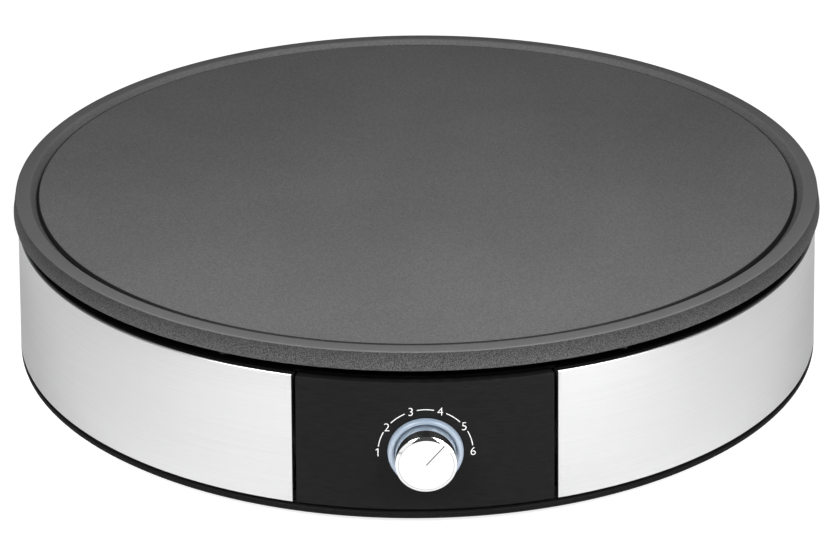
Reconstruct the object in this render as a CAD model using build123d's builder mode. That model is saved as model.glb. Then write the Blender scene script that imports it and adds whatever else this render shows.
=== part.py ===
from build123d import *
from math import cos, degrees, radians, sin, sqrt, tan
import os

os.makedirs("parts", exist_ok=True)

# Electric crepe maker, in millimetres. The Z axis is the axis of the cooking plate, z = 0 is the
# table, and the control panel with its knob faces -Y. Angles are in degrees from +X, so the front
# is at -90.

# ---------------------------------------------------------------- heights, from the table up
foot_stand = 2.5
base_ring_height = 6.1
band_height = 62.6
lip_thickness = 1.2
plate_gap = 5.3
plate_edge_height = 8.5
rim_rise = 1.7
groove_depth = 1.0

base_bottom = foot_stand
band_bottom = base_bottom + base_ring_height
band_top = band_bottom + band_height
deck_top = band_top + lip_thickness
plate_bottom = deck_top + plate_gap
rim_top = plate_bottom + plate_edge_height
cooking_surface = rim_top - rim_rise

# ---------------------------------------------------------------- outline radii
plate_radius = 200.0
plate_overhang = 3.0
band_flare = 2.0
base_ring_overhang = 1.7
band_top_radius = plate_radius - plate_overhang
band_bottom_radius = band_top_radius + band_flare
base_ring_radius = band_bottom_radius + base_ring_overhang
front = -90
rear = 90

# ---------------------------------------------------------------- clearances and sheet gauges
fit_gap = 0.1
slide_gap = 0.3
running_gap = 0.05
bite = 1.0
pilot_gap = 1.0
band_gauge = 0.8
band_flange = 10.0
band_bend = 0.7
band_return = 6.0
band_return_rise = 6.0
pan_gauge = lip_thickness
screw_head_width = 1.8
screw_head_height = 1.2
screw_head_top = 0.8

# ---------------------------------------------------------------- cooking plate
plate_thickness = 5.0
rim_lean = 1.2
rim_edge_radius = 1.3
rim_width = 4.6
groove_slope = 3.4
groove_arc = 7.0
groove_lip = 1.1
skirt_wall = 6.0
skirt_bottom_round = 0.8
skirt_root = 2.0
plate_underside = cooking_surface - plate_thickness
channel_wall = 3.0
channel_depth = 6.0
channel_end = 4
plate_rib_depth = 1.5
plate_rib_thickness = 3.0
plate_rib_gap = 2.0
outer_ribs = 12
outer_rib_start = 15
inner_ribs = 8
inner_rib_start = 22.5
plate_hub_radius = 20.0
plate_boss_radius = 7.0
plate_boss_inset = 28.0
plate_boss_count = 4
plate_boss_start = 0
plate_screw_radius = 2.5
clamp_boss_radius = 5.0
clamp_screw_radius = 2.0
clamp_pilot = 8.0
clamp_count = 5
clamp_start = -30
clamp_span = 240
clamp_gauge = 1.5
clamp_width = 16.0
clamp_flange = 4.0
clamp_overhang = 5.0

# ---------------------------------------------------------------- heating element
element_tube = 8.0
element_inset = 50.0
element_pitch = 55.0
element_start = -60
element_arc = 300
element_bend = 12.0
element_leg_end = 15.0
element_pin_radius = 1.6
pin_drop = 4.0
bead_height = 3.0
bead_radius = 3.6
element_outer = plate_radius - element_inset
element_inner = element_outer - element_pitch
element_middle = (element_outer + element_inner) / 2
element_z = plate_underside - element_tube / 2 - fit_gap
element_bottom = element_z - element_tube / 2

# ---------------------------------------------------------------- pan of the upper housing
pan_depth = 15.2
pan_wall_inset = 16.0
pan_corner = 4.0
pan_edge = 0.9
lip_bevel = 0.4
lip_inset = 0.6
lip_cut = 3.0
pan_wall_radius = plate_radius - pan_wall_inset
pan_inner_radius = pan_wall_radius - pan_gauge
lip_radius = band_top_radius - lip_inset
pan_floor_top = deck_top - pan_depth
pan_floor = pan_floor_top - pan_gauge
rim_screw_inset = 9.5
rim_screw_side_count = 3
rim_screw_first = 28
rim_screw_radius = 1.5
rim_screw_circle = plate_radius - rim_screw_inset
rim_screw_step = (rear - front - 2 * rim_screw_first) / (rim_screw_side_count - 1)
rim_screw_angles = [
    start + rim_screw_first + step * rim_screw_step
    for start in (front, rear)
    for step in range(rim_screw_side_count)
]

# ---------------------------------------------------------------- reflector between pan and element
shield_gauge = 0.8
shield_stand = 5.8
shield_rim_gap = 4.0
shield_bead = 1.6
shield_bead_slope = 2.0
shield_bead_radius = 40.0
shield_bead_half = 4.0
shield_seat_half = 8.0
shield_rim_drop = 3.0
spacer_inset = 1.0
grommet_y = 12.0
grommet_radius = 7.0
grommet_wall = 1.2
grommet_lip = 2.0
grommet_rise = 1.5
leg_hole_gap = 2.0
shield_bottom = pan_floor_top + shield_stand
shield_top = shield_bottom + shield_gauge
shield_radius = pan_inner_radius - shield_rim_gap

# ---------------------------------------------------------------- control panel
panel_half_angle = 16.95
seam_half_angle = 17.4
panel_proud = 0.4
panel_wall = 2.5
panel_foot_gap = 0.7
panel_return = 9.0
panel_flange = 2.0
panel_screw_angle = 13.5
panel_screw_heights = (22.0, 48.0)
panel_boss_radius = 3.2
lug_inset = 11.0
lug_wall = 3.0
lug_width = 11.0
lug_top = 53.0
dial_margin = 10.4
panel_bottom = band_bottom + panel_foot_gap
lug_radius = band_top_radius - lug_inset

# ---------------------------------------------------------------- knob and light ring
knob_radius = 13.7
knob_reach = 12.4
knob_skirt_depth = 2.0
knob_wall = 1.2
knob_chamfer_width = 1.4
knob_chamfer_depth = 0.9
knob_rest_angle = 49.5
pointer_width = 0.35
pointer_depth = 0.2
hub_radius = 5.2
hub_tail = 2.4
core_inset = 1.0
core_wall = 1.3
core_web = 1.2
core_face = 2.0
bore_top = 6.0
spring_inset = 0.6
spring_width = 1.5
spring_opening = 2.0
ring_bore_gap = 0.7
ring_wall = 2.5
ring_rise = 2.2
ring_edge = 0.4
ring_crown = 3.6
ring_flange = 1.5
ring_flange_width = 3.6
ring_seat_depth = 6.5
dial_boss_wall = 4.5
board_gap = 2.0
board_thickness = 1.6
board_edge = 3.2
board_hole_radius = 8.5
board_screw_offset = 6.9
board_screw_count = 3
board_post_radius = 2.5
board_screw_radius = 1.0
board_screw_start = 30
led_count = 6
led_offset = 0.1
led_size = 3.0
knob_bore = knob_radius + ring_bore_gap
ring_radius = knob_bore + ring_wall
ring_flange_radius = ring_radius + ring_flange_width
led_circle = ring_radius + led_offset
board_screw_circle = ring_radius + board_screw_offset
board_radius = board_screw_circle + board_edge
knob_height = panel_bottom + dial_margin + ring_radius

# ---------------------------------------------------------------- thermostat
spindle_radius = 3.0
spindle_flat = 1.5
spindle_bevel = 0.4
flat_runout = 1.0
thermostat_width = 38.0
thermostat_headroom = 0.4  # below the heads of the plate screws
thermostat_top = pan_floor - screw_head_height * plate_screw_radius - thermostat_headroom
thermostat_height = 2 * (thermostat_top - knob_height)
thermostat_depth = 28.0
thermostat_setback = 20.9
collar_radius = 5.0
collar_length = 4.0
collar_gauge = 1.0
collar_height = 24.0
spindle_inside = 6.6
main_tab_x = 9.0
lamp_tab_drop = 10.6
lamp_tab_z = knob_height - lamp_tab_drop
capillary_inlet_x = 12.0
capillary_inlet_z = 10.0
inlet_height = 2.0
inlet_wall = 1.6
bracket_foot_pitch = 32.0
bracket_gauge = 1.5
bracket_width = 44.0
bracket_height = 46.0
bracket_foot = 16.0
thermostat_screw_pitch = 28.0

# ---------------------------------------------------------------- base tray
tray_floor = 2.2
tray_wall = 2.0
tray_wall_height = 4.5
tray_rib_height = 5.0
tray_rib = 2.0
tray_rib_circle = 110.0
tray_rib_count = 8
ring_foot_inset = 3.4
ring_crest_drop = 1.2
ring_crest_gap = 0.4
ring_foot_bevel = 0.7
ring_crest_bevel = 0.4
tray_gap_angle = 1.2
inner_vent_circle = 70.0
inner_vent_start = 22.5
post_radius = 4.0
vent_count = 16
vent_start = 11.25
vent_width = 4.0
vent_length = 26.0
vent_inset = 60.0
foot_count = 4
foot_start = 45
foot_inset = 35.0
foot_radius = 12.0
foot_bevel = 0.8
foot_stem_radius = 4.0
foot_head_radius = 5.0
foot_head_height = 2.2
foot_head_taper = 2.0
tray_top = base_bottom + tray_floor
foot_circle = plate_radius - foot_inset

# ---------------------------------------------------------------- supply side, at the rear
cord_radius = 3.5
cord_gap = 0.2
gland_height = 30.0
gland_neck_radius = 8.0
gland_flange_radius = 10.5
gland_flange = 2.5
gland_reach = 9.5
gland_tip_radius = 6.0
block_width = 36.0
block_depth = 20.0
block_height = 17.0
block_stand = 3.0
block_inset = 48.0
block_screw_pitch = 10.0
pole_rise = 7.0
pole_gap = 0.6
pole_grip = 8.0
pinch_length = 5.0
pinch_screw_radius = 2.0
well_radius = 2.4
tag_gauge = 0.8
tag_radius = 4.5
tag_length = 12.0
nut_radius = 4.0
nut_height = 3.2
block_pole_pitch = 11.0
saddle_inset = 24.0
saddle_width = 10.0
saddle_pitch = 24.0
saddle_web = 6.0
saddle_gauge = 2.5

# ---------------------------------------------------------------- inner leads
lead_radius = 1.5
lamp_lead_radius = 0.9
lamp_lead_x = 24.5
lamp_lead_z = knob_height
capillary_radius = 0.9
capillary_x = 50.0
capillary_hole = 3.0
bulb_radius = 3.0
bulb_length = 60.0
bulb_bevel = 1.2
bulb_centre_x = 6.0
bulb_clip_pitch = 36.0
bulb_clip_width = 10.0
bulb_boss_offset = 9.0
bulb_boss_height = 3.0
cutout_radius = 8.0
cutout_cup = 4.0
cutout_base = 6.5
cutout_step = 1.0
cutout_rim = 2.0
cutout_tab_rise = 2.0
cutout_y = 45.0
cutout_screw_pitch = 26.0
cutout_boss_height = 4.0
small_boss_radius = 3.5
small_screw_radius = 1.5
small_pilot = 5.0
pilot_depth = 12.0
clip_gauge = 0.8
tab_width = 6.3
tab_gauge = 0.8
tab_length = 8.0
tab_root = 0.5
crimp_gap = 1.0
crimp_wall = 0.9
crimp_length = 10.0
earth_x = 60.0
earth_y = 80.0


def wall_radius(z):
    # outer radius of the flared steel band at a height
    return band_bottom_radius - band_flare * (z - band_bottom) / band_height


def upright(angle):
    # vertical plane through the axis, its x pointing outwards at the angle
    x_dir = (cos(radians(angle)), sin(radians(angle)), 0)
    z_dir = (sin(radians(angle)), -cos(radians(angle)), 0)
    return Plane(origin=(0, 0, 0), x_dir=x_dir, z_dir=z_dir)


def facing(angle, distance, height):
    # plane square to the radius at the angle, its normal pointing outwards, its y up
    out = (cos(radians(angle)), sin(radians(angle)), 0)
    side = (-sin(radians(angle)), cos(radians(angle)), 0)
    origin = (distance * out[0], distance * out[1], height)
    return Plane(origin=origin, x_dir=side, z_dir=out)


def on_circle(radius, angle, z=0):
    return Vector(radius * cos(radians(angle)), radius * sin(radians(angle)), z)


def section_of(plane):
    # plane through the normal of another, its x kept and its y along that normal
    return Plane(origin=plane.origin, x_dir=plane.x_dir, z_dir=-plane.y_dir)


def corner_at(section, x, y):
    return section.vertices().sort_by_distance((x, y))[0]


def rim_screw_places(z=0):
    return [on_circle(rim_screw_circle, angle, z) for angle in rim_screw_angles]


def bend_radii(points):
    # largest arcs that the straight runs of a lead leave room for
    corners = [Vector(*point) for point in points]
    radii = []
    for before, corner, after in zip(corners, corners[1:], corners[2:]):
        turn = (corner - before).get_angle(after - corner)
        shorter = min((corner - before).length, (after - corner).length)
        radii.append(0.45 * shorter / tan(radians(turn / 2)))
    return radii


def lead(points, radius):
    # round lead along straight runs joined by tangent arcs
    start = Vector(*points[0])
    with BuildPart() as tube:
        with BuildLine():
            FilletPolyline(*points, radius=bend_radii(points))
        with BuildSketch(Plane(origin=start, z_dir=Vector(*points[1]) - start)):
            Circle(radius)
        sweep()
    return tube.part


def screw(shank_radius, shank_length):
    # pan-head screw standing on z = 0, its shank hanging below
    head_radius = screw_head_width * shank_radius
    head_height = screw_head_height * shank_radius
    with BuildPart() as body:
        with BuildSketch(Plane.XZ):
            with BuildLine():
                Polyline(
                    (0, head_height),
                    (screw_head_top * head_radius, head_height),
                    (head_radius, 0),
                    (shank_radius, 0),
                    (shank_radius, -shank_length),
                    (0, -shank_length),
                    close=True,
                )
            make_face()
        revolve(axis=Axis.Z)
    return body.part


def save(part, name):
    part.label = name
    export_step(part, f"parts/{name}.step")


# ================================================================ cooking plate
# One casting: raised rim, juice groove, flat centre, short skirt, and on its underside the two
# channels that hold the element, stiffening ribs and the screw bosses.
plate_boss_circle = plate_radius - plate_boss_inset
groove_bottom = cooking_surface - groove_depth
rim_outer = plate_radius - rim_lean - rim_edge_radius
rim_side = rim_outer + rim_edge_radius
rim_shoulder = rim_top - rim_edge_radius
rim_inner = rim_outer - rim_width
groove_radius = rim_inner - groove_slope
surface_radius = groove_radius - groove_lip
channel_half = element_tube / 2 + 2 * fit_gap
channel_span = element_arc - 2 * channel_end
clamp_boss_bottom = element_bottom + slide_gap
rib_gap_outer = element_outer + channel_half + channel_wall + plate_rib_gap
rib_gap_inner = element_inner - channel_half - channel_wall - plate_rib_gap
rib_end_outer = plate_radius - skirt_wall + bite

with BuildPart() as cooking_plate:
    with BuildSketch(Plane.XZ):
        with BuildLine():
            Polyline(
                (0, plate_underside),
                (0, cooking_surface),
                (surface_radius, cooking_surface),
                (groove_radius, groove_bottom),
            )
            RadiusArc((groove_radius, groove_bottom), (rim_inner, rim_top), -groove_arc)
            Line((rim_inner, rim_top), (rim_outer, rim_top))
            RadiusArc((rim_outer, rim_top), (rim_side, rim_shoulder), rim_edge_radius)
            Polyline(
                (rim_side, rim_shoulder),
                (plate_radius, plate_bottom + skirt_bottom_round),
                (plate_radius - skirt_bottom_round, plate_bottom),
                (plate_radius - skirt_wall, plate_bottom),
                (plate_radius - skirt_wall - skirt_root, plate_underside),
                (0, plate_underside),
            )
        make_face()
    revolve(axis=Axis.Z)
    for ring in (element_outer, element_inner):
        for side in (-1, 1):
            wall_centre = ring + side * (channel_half + channel_wall / 2)
            with BuildSketch(upright(element_start + channel_end)):
                with Locations((wall_centre, plate_underside - channel_depth / 2)):
                    Rectangle(channel_wall, channel_depth)
            revolve(axis=Axis.Z, revolution_arc=channel_span)
    with BuildSketch(Plane.XY.offset(plate_underside)):
        with PolarLocations((rib_gap_outer + rib_end_outer) / 2, outer_ribs, outer_rib_start):
            Rectangle(rib_end_outer - rib_gap_outer, plate_rib_thickness)
        with PolarLocations(rib_gap_inner / 2, inner_ribs, inner_rib_start):
            Rectangle(rib_gap_inner, plate_rib_thickness)
        Circle(plate_hub_radius)
    extrude(amount=-plate_rib_depth)
    with BuildSketch(Plane.XY.offset(plate_underside)):
        with PolarLocations(plate_boss_circle, plate_boss_count, plate_boss_start):
            Circle(plate_boss_radius)
    extrude(amount=-(plate_underside - shield_top))
    with BuildSketch(Plane.XY.offset(plate_underside)):
        with PolarLocations(element_middle, clamp_count, clamp_start, clamp_span, endpoint=True):
            Circle(clamp_boss_radius)
    extrude(amount=-(plate_underside - clamp_boss_bottom))
    with BuildSketch(Plane.XY.offset(plate_underside)):
        with Locations((bulb_centre_x, -element_middle + bulb_boss_offset)):
            with GridLocations(bulb_clip_pitch, 0, 2, 1):
                Circle(small_boss_radius)
    extrude(amount=-bulb_boss_height)
    with BuildSketch(Plane.XY.offset(plate_underside)):
        with Locations((0, cutout_y)):
            with GridLocations(cutout_screw_pitch, 0, 2, 1):
                Circle(small_boss_radius)
    extrude(amount=-cutout_boss_height)
    with BuildSketch(Plane.XY.offset(shield_top)):
        with PolarLocations(plate_boss_circle, plate_boss_count, plate_boss_start):
            Circle(plate_screw_radius + running_gap)
    extrude(amount=pilot_depth, mode=Mode.SUBTRACT)
    with BuildSketch(Plane.XY.offset(clamp_boss_bottom)):
        with PolarLocations(element_middle, clamp_count, clamp_start, clamp_span, endpoint=True):
            Circle(clamp_screw_radius + running_gap)
    extrude(amount=clamp_pilot, mode=Mode.SUBTRACT)
    with BuildSketch(Plane.XY.offset(plate_underside - bulb_boss_height)):
        with Locations((bulb_centre_x, -element_middle + bulb_boss_offset)):
            with GridLocations(bulb_clip_pitch, 0, 2, 1):
                Circle(small_screw_radius + running_gap)
    extrude(amount=small_pilot, mode=Mode.SUBTRACT)
    with BuildSketch(Plane.XY.offset(plate_underside - cutout_boss_height)):
        with Locations((0, cutout_y)):
            with GridLocations(cutout_screw_pitch, 0, 2, 1):
                Circle(small_screw_radius + running_gap)
    extrude(amount=small_pilot, mode=Mode.SUBTRACT)
save(cooking_plate.part, "cooking_plate")


# ================================================================ heating element
# One sheathed tube: outer turn, U-turn, inner turn, and a leg bent down at each end.
leg_tangent = Vector(-sin(radians(element_start)), cos(radians(element_start)), 0)
element_end = element_start + element_arc
end_tangent = Vector(-sin(radians(element_end)), cos(radians(element_end)), 0)
up = Vector(0, 0, 1)
leg_bottom = element_z - element_bend - element_leg_end
legs = []
for ring in (element_outer, element_inner):
    foot = on_circle(ring, element_start, element_z) - leg_tangent * element_bend
    legs.append(Vector(foot.X, foot.Y, leg_bottom))


def leg_bend(ring):
    # start, middle and end of the quarter bend from the vertical leg into a turn
    end = on_circle(ring, element_start, element_z)
    centre = end - up * element_bend
    middle = centre + (up - leg_tangent) * (element_bend / sqrt(2))
    return centre - leg_tangent * element_bend, middle, end


outer_bend = leg_bend(element_outer)
inner_bend = leg_bend(element_inner)
turn_middle = on_circle(element_middle, element_end, element_z) + end_tangent * (element_pitch / 2)
turn_start = on_circle(element_outer, element_end, element_z)
turn_end = on_circle(element_inner, element_end, element_z)

with BuildPart() as heating_element:
    with BuildLine():
        Line(legs[0], outer_bend[0])
        ThreePointArc(*outer_bend)
        CenterArc((0, 0, element_z), element_outer, element_start, element_arc)
        ThreePointArc(turn_start, turn_middle, turn_end)
        CenterArc((0, 0, element_z), element_inner, element_end, -element_arc)
        ThreePointArc(*reversed(inner_bend))
        Line(inner_bend[0], legs[1])
    with BuildSketch(Plane(origin=legs[0], z_dir=up)):
        Circle(element_tube / 2)
    sweep()
save(heating_element.part, "heating_element")


def tab(plane):
    # spade terminal rising along the plane's normal
    with BuildPart() as blade:
        with BuildSketch(plane):
            Rectangle(tab_width, tab_gauge)
        extrude(amount=tab_length)
    return blade.part


def crimp(plane):
    # push-on receptacle over a tab, with its sleeve towards the lead
    with BuildPart() as body:
        with BuildSketch(plane.offset(crimp_gap)):
            Rectangle(tab_width + 2 * crimp_wall, tab_gauge + 2 * crimp_wall)
        extrude(amount=crimp_length)
        with BuildSketch(plane.offset(crimp_gap)):
            Rectangle(tab_width + 2 * fit_gap, tab_gauge + 2 * fit_gap)
        extrude(amount=tab_length - crimp_gap + fit_gap, mode=Mode.SUBTRACT)
    return body.part


pin_end = leg_bottom - pin_drop
leg_tabs = [Plane(origin=(leg.X, leg.Y, pin_end), x_dir=(1, 0, 0), z_dir=(0, 0, -1)) for leg in legs]
leg_blades = [tab(plane) for plane in leg_tabs]
with BuildPart() as element_terminals:
    for leg in legs:
        with BuildSketch(Plane.XY.offset(leg_bottom)):
            with Locations((leg.X, leg.Y)):
                Circle(element_pin_radius)
        extrude(amount=-pin_drop)
    add(leg_blades)
save(element_terminals.part, "element_terminals")

with BuildPart() as terminal_beads:
    with BuildSketch(Plane.XY.offset(leg_bottom)):
        with Locations(*[(leg.X, leg.Y) for leg in legs]):
            Circle(bead_radius)
            Circle(element_pin_radius + running_gap, mode=Mode.SUBTRACT)
    extrude(amount=-bead_height)
save(terminal_beads.part, "terminal_beads")

# flanged bars that press both turns against the plate
clamp_length = element_pitch + element_tube + 2 * clamp_overhang
with BuildPart() as element_clamps:
    with BuildSketch(Plane.XY.offset(element_bottom)):
        with PolarLocations(element_middle, clamp_count, clamp_start, clamp_span, endpoint=True):
            Rectangle(clamp_length, clamp_width)
    extrude(amount=-clamp_gauge)
    with BuildSketch(Plane.XY.offset(element_bottom)):
        with PolarLocations(element_middle, clamp_count, clamp_start, clamp_span, endpoint=True):
            with GridLocations(0, clamp_width - clamp_gauge, 1, 2):
                Rectangle(clamp_length, clamp_gauge)
    extrude(amount=-clamp_flange)
    with BuildSketch(Plane.XY.offset(element_bottom)):
        with PolarLocations(element_middle, clamp_count, clamp_start, clamp_span, endpoint=True):
            Circle(clamp_screw_radius + fit_gap)
    extrude(amount=-clamp_flange, mode=Mode.SUBTRACT)
save(element_clamps.part, "element_clamps")

below_clamp = element_bottom - clamp_gauge
clamp_screw = screw(clamp_screw_radius, clamp_gauge + clamp_pilot - pilot_gap)
with BuildPart() as clamp_screws:
    with PolarLocations(element_middle, clamp_count, clamp_start, clamp_span, endpoint=True):
        with Locations(Plane(origin=(0, 0, below_clamp), z_dir=(0, 0, -1))):
            add(clamp_screw)
save(clamp_screws.part, "clamp_screws")

# ================================================================ sensing bulb and its clips
bulb_z = plate_underside - bulb_radius - fit_gap
bulb_plane = Plane(origin=(bulb_centre_x - bulb_length / 2, -element_middle, bulb_z), z_dir=(1, 0, 0))
with BuildPart() as sensing_bulb:
    with BuildSketch(bulb_plane):
        Circle(bulb_radius)
    extrude(amount=bulb_length)
    chamfer(sensing_bulb.edges().filter_by(GeomType.CIRCLE), bulb_bevel)
save(sensing_bulb.part, "sensing_bulb")

clip_top = plate_underside - bulb_boss_height
clip_outer = bulb_radius + fit_gap + clip_gauge
clip_end = bulb_boss_offset + small_boss_radius
with BuildPart() as bulb_clips:
    for side in (-1, 1):
        centre_x = bulb_centre_x + side * bulb_clip_pitch / 2
        clip_plane = Plane(
            origin=(centre_x - bulb_clip_width / 2, -element_middle, bulb_z),
            x_dir=(0, 1, 0),
            z_dir=(1, 0, 0),
        )
        foot_drop = clip_top - bulb_z
        with BuildSketch(clip_plane):
            Circle(clip_outer)
            with Locations((0, clip_outer / 2)):
                Rectangle(2 * clip_outer, clip_outer, mode=Mode.SUBTRACT)
            with Locations((clip_outer - clip_gauge / 2, foot_drop / 2)):
                Rectangle(clip_gauge, foot_drop)
            with Locations((-clip_outer + clip_gauge / 2, foot_drop / 2)):
                Rectangle(clip_gauge, foot_drop)
            with Locations(((clip_outer + clip_end) / 2, foot_drop - clip_gauge / 2)):
                Rectangle(clip_end - clip_outer + clip_gauge, clip_gauge)
            Circle(bulb_radius + fit_gap, mode=Mode.SUBTRACT)
            with Locations((0, clip_outer / 2)):
                Rectangle(2 * (clip_outer - clip_gauge), clip_outer, mode=Mode.SUBTRACT)
        extrude(amount=bulb_clip_width)
    with BuildSketch(Plane.XY.offset(clip_top)):
        with Locations((bulb_centre_x, -element_middle + bulb_boss_offset)):
            with GridLocations(bulb_clip_pitch, 0, 2, 1):
                Circle(small_screw_radius + fit_gap)
    extrude(amount=-clip_gauge, mode=Mode.SUBTRACT)
save(bulb_clips.part, "bulb_clips")

clip_screw = screw(small_screw_radius, small_pilot + clip_gauge - pilot_gap)
with BuildPart() as bulb_clip_screws:
    with Locations((bulb_centre_x, -element_middle + bulb_boss_offset)):
        with GridLocations(bulb_clip_pitch, 0, 2, 1):
            with Locations(Plane(origin=(0, 0, clip_top - clip_gauge), z_dir=(0, 0, -1))):
                add(clip_screw)
save(bulb_clip_screws.part, "bulb_clip_screws")

# ================================================================ thermal cutout
cutout_base_radius = cutout_radius - cutout_step
cutout_top = plate_underside - fit_gap
cutout_tab_z = cutout_top - cutout_cup - cutout_base + cutout_tab_rise
cutout_tab_x = cutout_base_radius - tab_root
cutout_tabs = [
    Plane(origin=(side * cutout_tab_x, cutout_y, cutout_tab_z), x_dir=(0, 1, 0), z_dir=(side, 0, 0))
    for side in (-1, 1)
]
cutout_blades = [tab(plane) for plane in cutout_tabs]
with BuildPart() as thermal_cutout:
    with BuildSketch(Plane.XY.offset(cutout_top)):
        with Locations((0, cutout_y)):
            Circle(cutout_radius)
    extrude(amount=-cutout_cup)
    with BuildSketch(Plane.XY.offset(cutout_top - cutout_cup)):
        with Locations((0, cutout_y)):
            Circle(cutout_base_radius)
    extrude(amount=-cutout_base)
    add(cutout_blades)
save(thermal_cutout.part, "thermal_cutout")

bracket_top = cutout_top - cutout_cup
with BuildPart() as cutout_bracket:
    with BuildSketch(Plane.XY.offset(bracket_top)):
        with Locations((0, cutout_y)):
            SlotCenterToCenter(cutout_screw_pitch, 2 * small_boss_radius)
            Circle(cutout_radius + cutout_rim)
            Circle(cutout_base_radius + fit_gap, mode=Mode.SUBTRACT)
            with GridLocations(cutout_screw_pitch, 0, 2, 1):
                Circle(small_screw_radius + fit_gap, mode=Mode.SUBTRACT)
    extrude(amount=-clip_gauge)
save(cutout_bracket.part, "cutout_bracket")

cutout_screw = screw(small_screw_radius, small_pilot - pilot_gap)
with BuildPart() as cutout_screws:
    with Locations((0, cutout_y)):
        with GridLocations(cutout_screw_pitch, 0, 2, 1):
            with Locations(Plane(origin=(0, 0, bracket_top - clip_gauge), z_dir=(0, 0, -1))):
                add(cutout_screw)
save(cutout_screws.part, "cutout_screws")


# ================================================================ reflector
# Thin sheet under the element with two stiffening beads and a turned-down rim.
bead_foot = shield_bead_half + shield_bead_slope
seat_foot = shield_seat_half + shield_bead_slope
with BuildPart() as reflector:
    with BuildSketch(Plane.XZ):
        with BuildLine():
            Polyline(
                (0, shield_top),
                (shield_bead_radius - bead_foot, shield_top),
                (shield_bead_radius - shield_bead_half, shield_top + shield_bead),
                (shield_bead_radius + shield_bead_half, shield_top + shield_bead),
                (shield_bead_radius + bead_foot, shield_top),
                (element_middle - seat_foot, shield_top),
                (element_middle - shield_seat_half, shield_top + shield_bead),
                (element_middle + shield_seat_half, shield_top + shield_bead),
                (element_middle + seat_foot, shield_top),
                (shield_radius, shield_top),
                (shield_radius, shield_bottom - shield_rim_drop),
                (shield_radius - shield_gauge, shield_bottom - shield_rim_drop),
                (shield_radius - shield_gauge, shield_bottom),
                (element_middle + seat_foot, shield_bottom),
                (element_middle + shield_seat_half, shield_bottom + shield_bead),
                (element_middle - shield_seat_half, shield_bottom + shield_bead),
                (element_middle - seat_foot, shield_bottom),
                (shield_bead_radius + bead_foot, shield_bottom),
                (shield_bead_radius + shield_bead_half, shield_bottom + shield_bead),
                (shield_bead_radius - shield_bead_half, shield_bottom + shield_bead),
                (shield_bead_radius - bead_foot, shield_bottom),
                (0, shield_bottom),
                close=True,
            )
        make_face()
    revolve(axis=Axis.Z)
    with BuildSketch(Plane.XY.offset(shield_bottom)):
        with PolarLocations(plate_boss_circle, plate_boss_count, plate_boss_start):
            Circle(plate_screw_radius + slide_gap)
        with Locations(*[(leg.X, leg.Y) for leg in legs]):
            Circle(element_tube / 2 + leg_hole_gap)
        with Locations((capillary_x, -element_middle)):
            Circle(capillary_hole)
        with Locations((0, grommet_y)):
            Circle(grommet_radius)
    extrude(amount=shield_bead + shield_gauge, mode=Mode.SUBTRACT)
save(reflector.part, "reflector")

# ================================================================ upper housing
# Drawn pan: its rim is the dark lip over the band, cut back above the control panel.
with BuildPart() as upper_housing:
    with BuildSketch(Plane.XZ) as pan_section:
        with BuildLine():
            Polyline(
                (0, pan_floor),
                (pan_wall_radius, pan_floor),
                (pan_wall_radius, band_top),
                (lip_radius, band_top),
                (lip_radius, deck_top),
                (pan_inner_radius, deck_top),
                (pan_inner_radius, pan_floor_top),
                (0, pan_floor_top),
                close=True,
            )
        make_face()
        fillet(corner_at(pan_section, pan_wall_radius, pan_floor), pan_corner)
        fillet(corner_at(pan_section, pan_inner_radius, pan_floor_top), pan_corner - pan_gauge)
        chamfer(corner_at(pan_section, pan_inner_radius, deck_top), pan_edge)
        chamfer(corner_at(pan_section, lip_radius, deck_top), lip_bevel)
    revolve(axis=Axis.Z)
    with BuildSketch(upright(front - seam_half_angle)):
        with Locations((lip_radius, (band_top + deck_top) / 2)):
            Rectangle(2 * lip_cut, 2 * lip_thickness)
    revolve(axis=Axis.Z, revolution_arc=2 * seam_half_angle, mode=Mode.SUBTRACT)
    with BuildSketch(Plane.XY.offset(pan_floor)):
        with PolarLocations(plate_boss_circle, plate_boss_count, plate_boss_start):
            Circle(plate_screw_radius + slide_gap)
        with Locations(*[(leg.X, leg.Y) for leg in legs]):
            Circle(element_tube / 2 + leg_hole_gap)
        with Locations((capillary_x, -element_middle)):
            Circle(capillary_hole)
        with Locations((0, grommet_y)):
            Circle(grommet_radius)
        with Locations((earth_x, earth_y)):
            Circle(clamp_screw_radius + fit_gap)
    extrude(amount=pan_gauge, mode=Mode.SUBTRACT)
    with BuildSketch(Plane.XY.offset(band_top)):
        with Locations(*rim_screw_places()):
            Circle(rim_screw_radius + fit_gap)
    extrude(amount=lip_thickness, mode=Mode.SUBTRACT)
save(upper_housing.part, "upper_housing")

# ceramic bush in the pan floor for the leads to the cutout
grommet_plane = Plane(origin=(0, grommet_y, pan_floor), x_dir=(1, 0, 0), z_dir=(0, 0, 1))
with BuildPart() as lead_grommet:
    with BuildSketch(section_of(grommet_plane)):
        with BuildLine():
            Polyline(
                (grommet_radius - grommet_wall, -grommet_lip),
                (grommet_radius + grommet_lip, -grommet_lip),
                (grommet_radius + grommet_lip, 0),
                (grommet_radius - fit_gap, 0),
                (grommet_radius - fit_gap, pan_gauge),
                (grommet_radius + grommet_lip, pan_gauge),
                (grommet_radius + grommet_lip, pan_gauge + grommet_rise),
                (grommet_radius - grommet_wall, pan_gauge + grommet_rise),
                close=True,
            )
        make_face()
    revolve(axis=Axis(grommet_plane.origin, grommet_plane.z_dir))
save(lead_grommet.part, "lead_grommet")

with BuildPart() as plate_spacers:
    with BuildSketch(Plane.XY.offset(pan_floor_top)):
        with PolarLocations(plate_boss_circle, plate_boss_count, plate_boss_start):
            Circle(plate_boss_radius - spacer_inset)
            Circle(plate_screw_radius + slide_gap, mode=Mode.SUBTRACT)
    extrude(amount=shield_stand)
save(plate_spacers.part, "plate_spacers")

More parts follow.
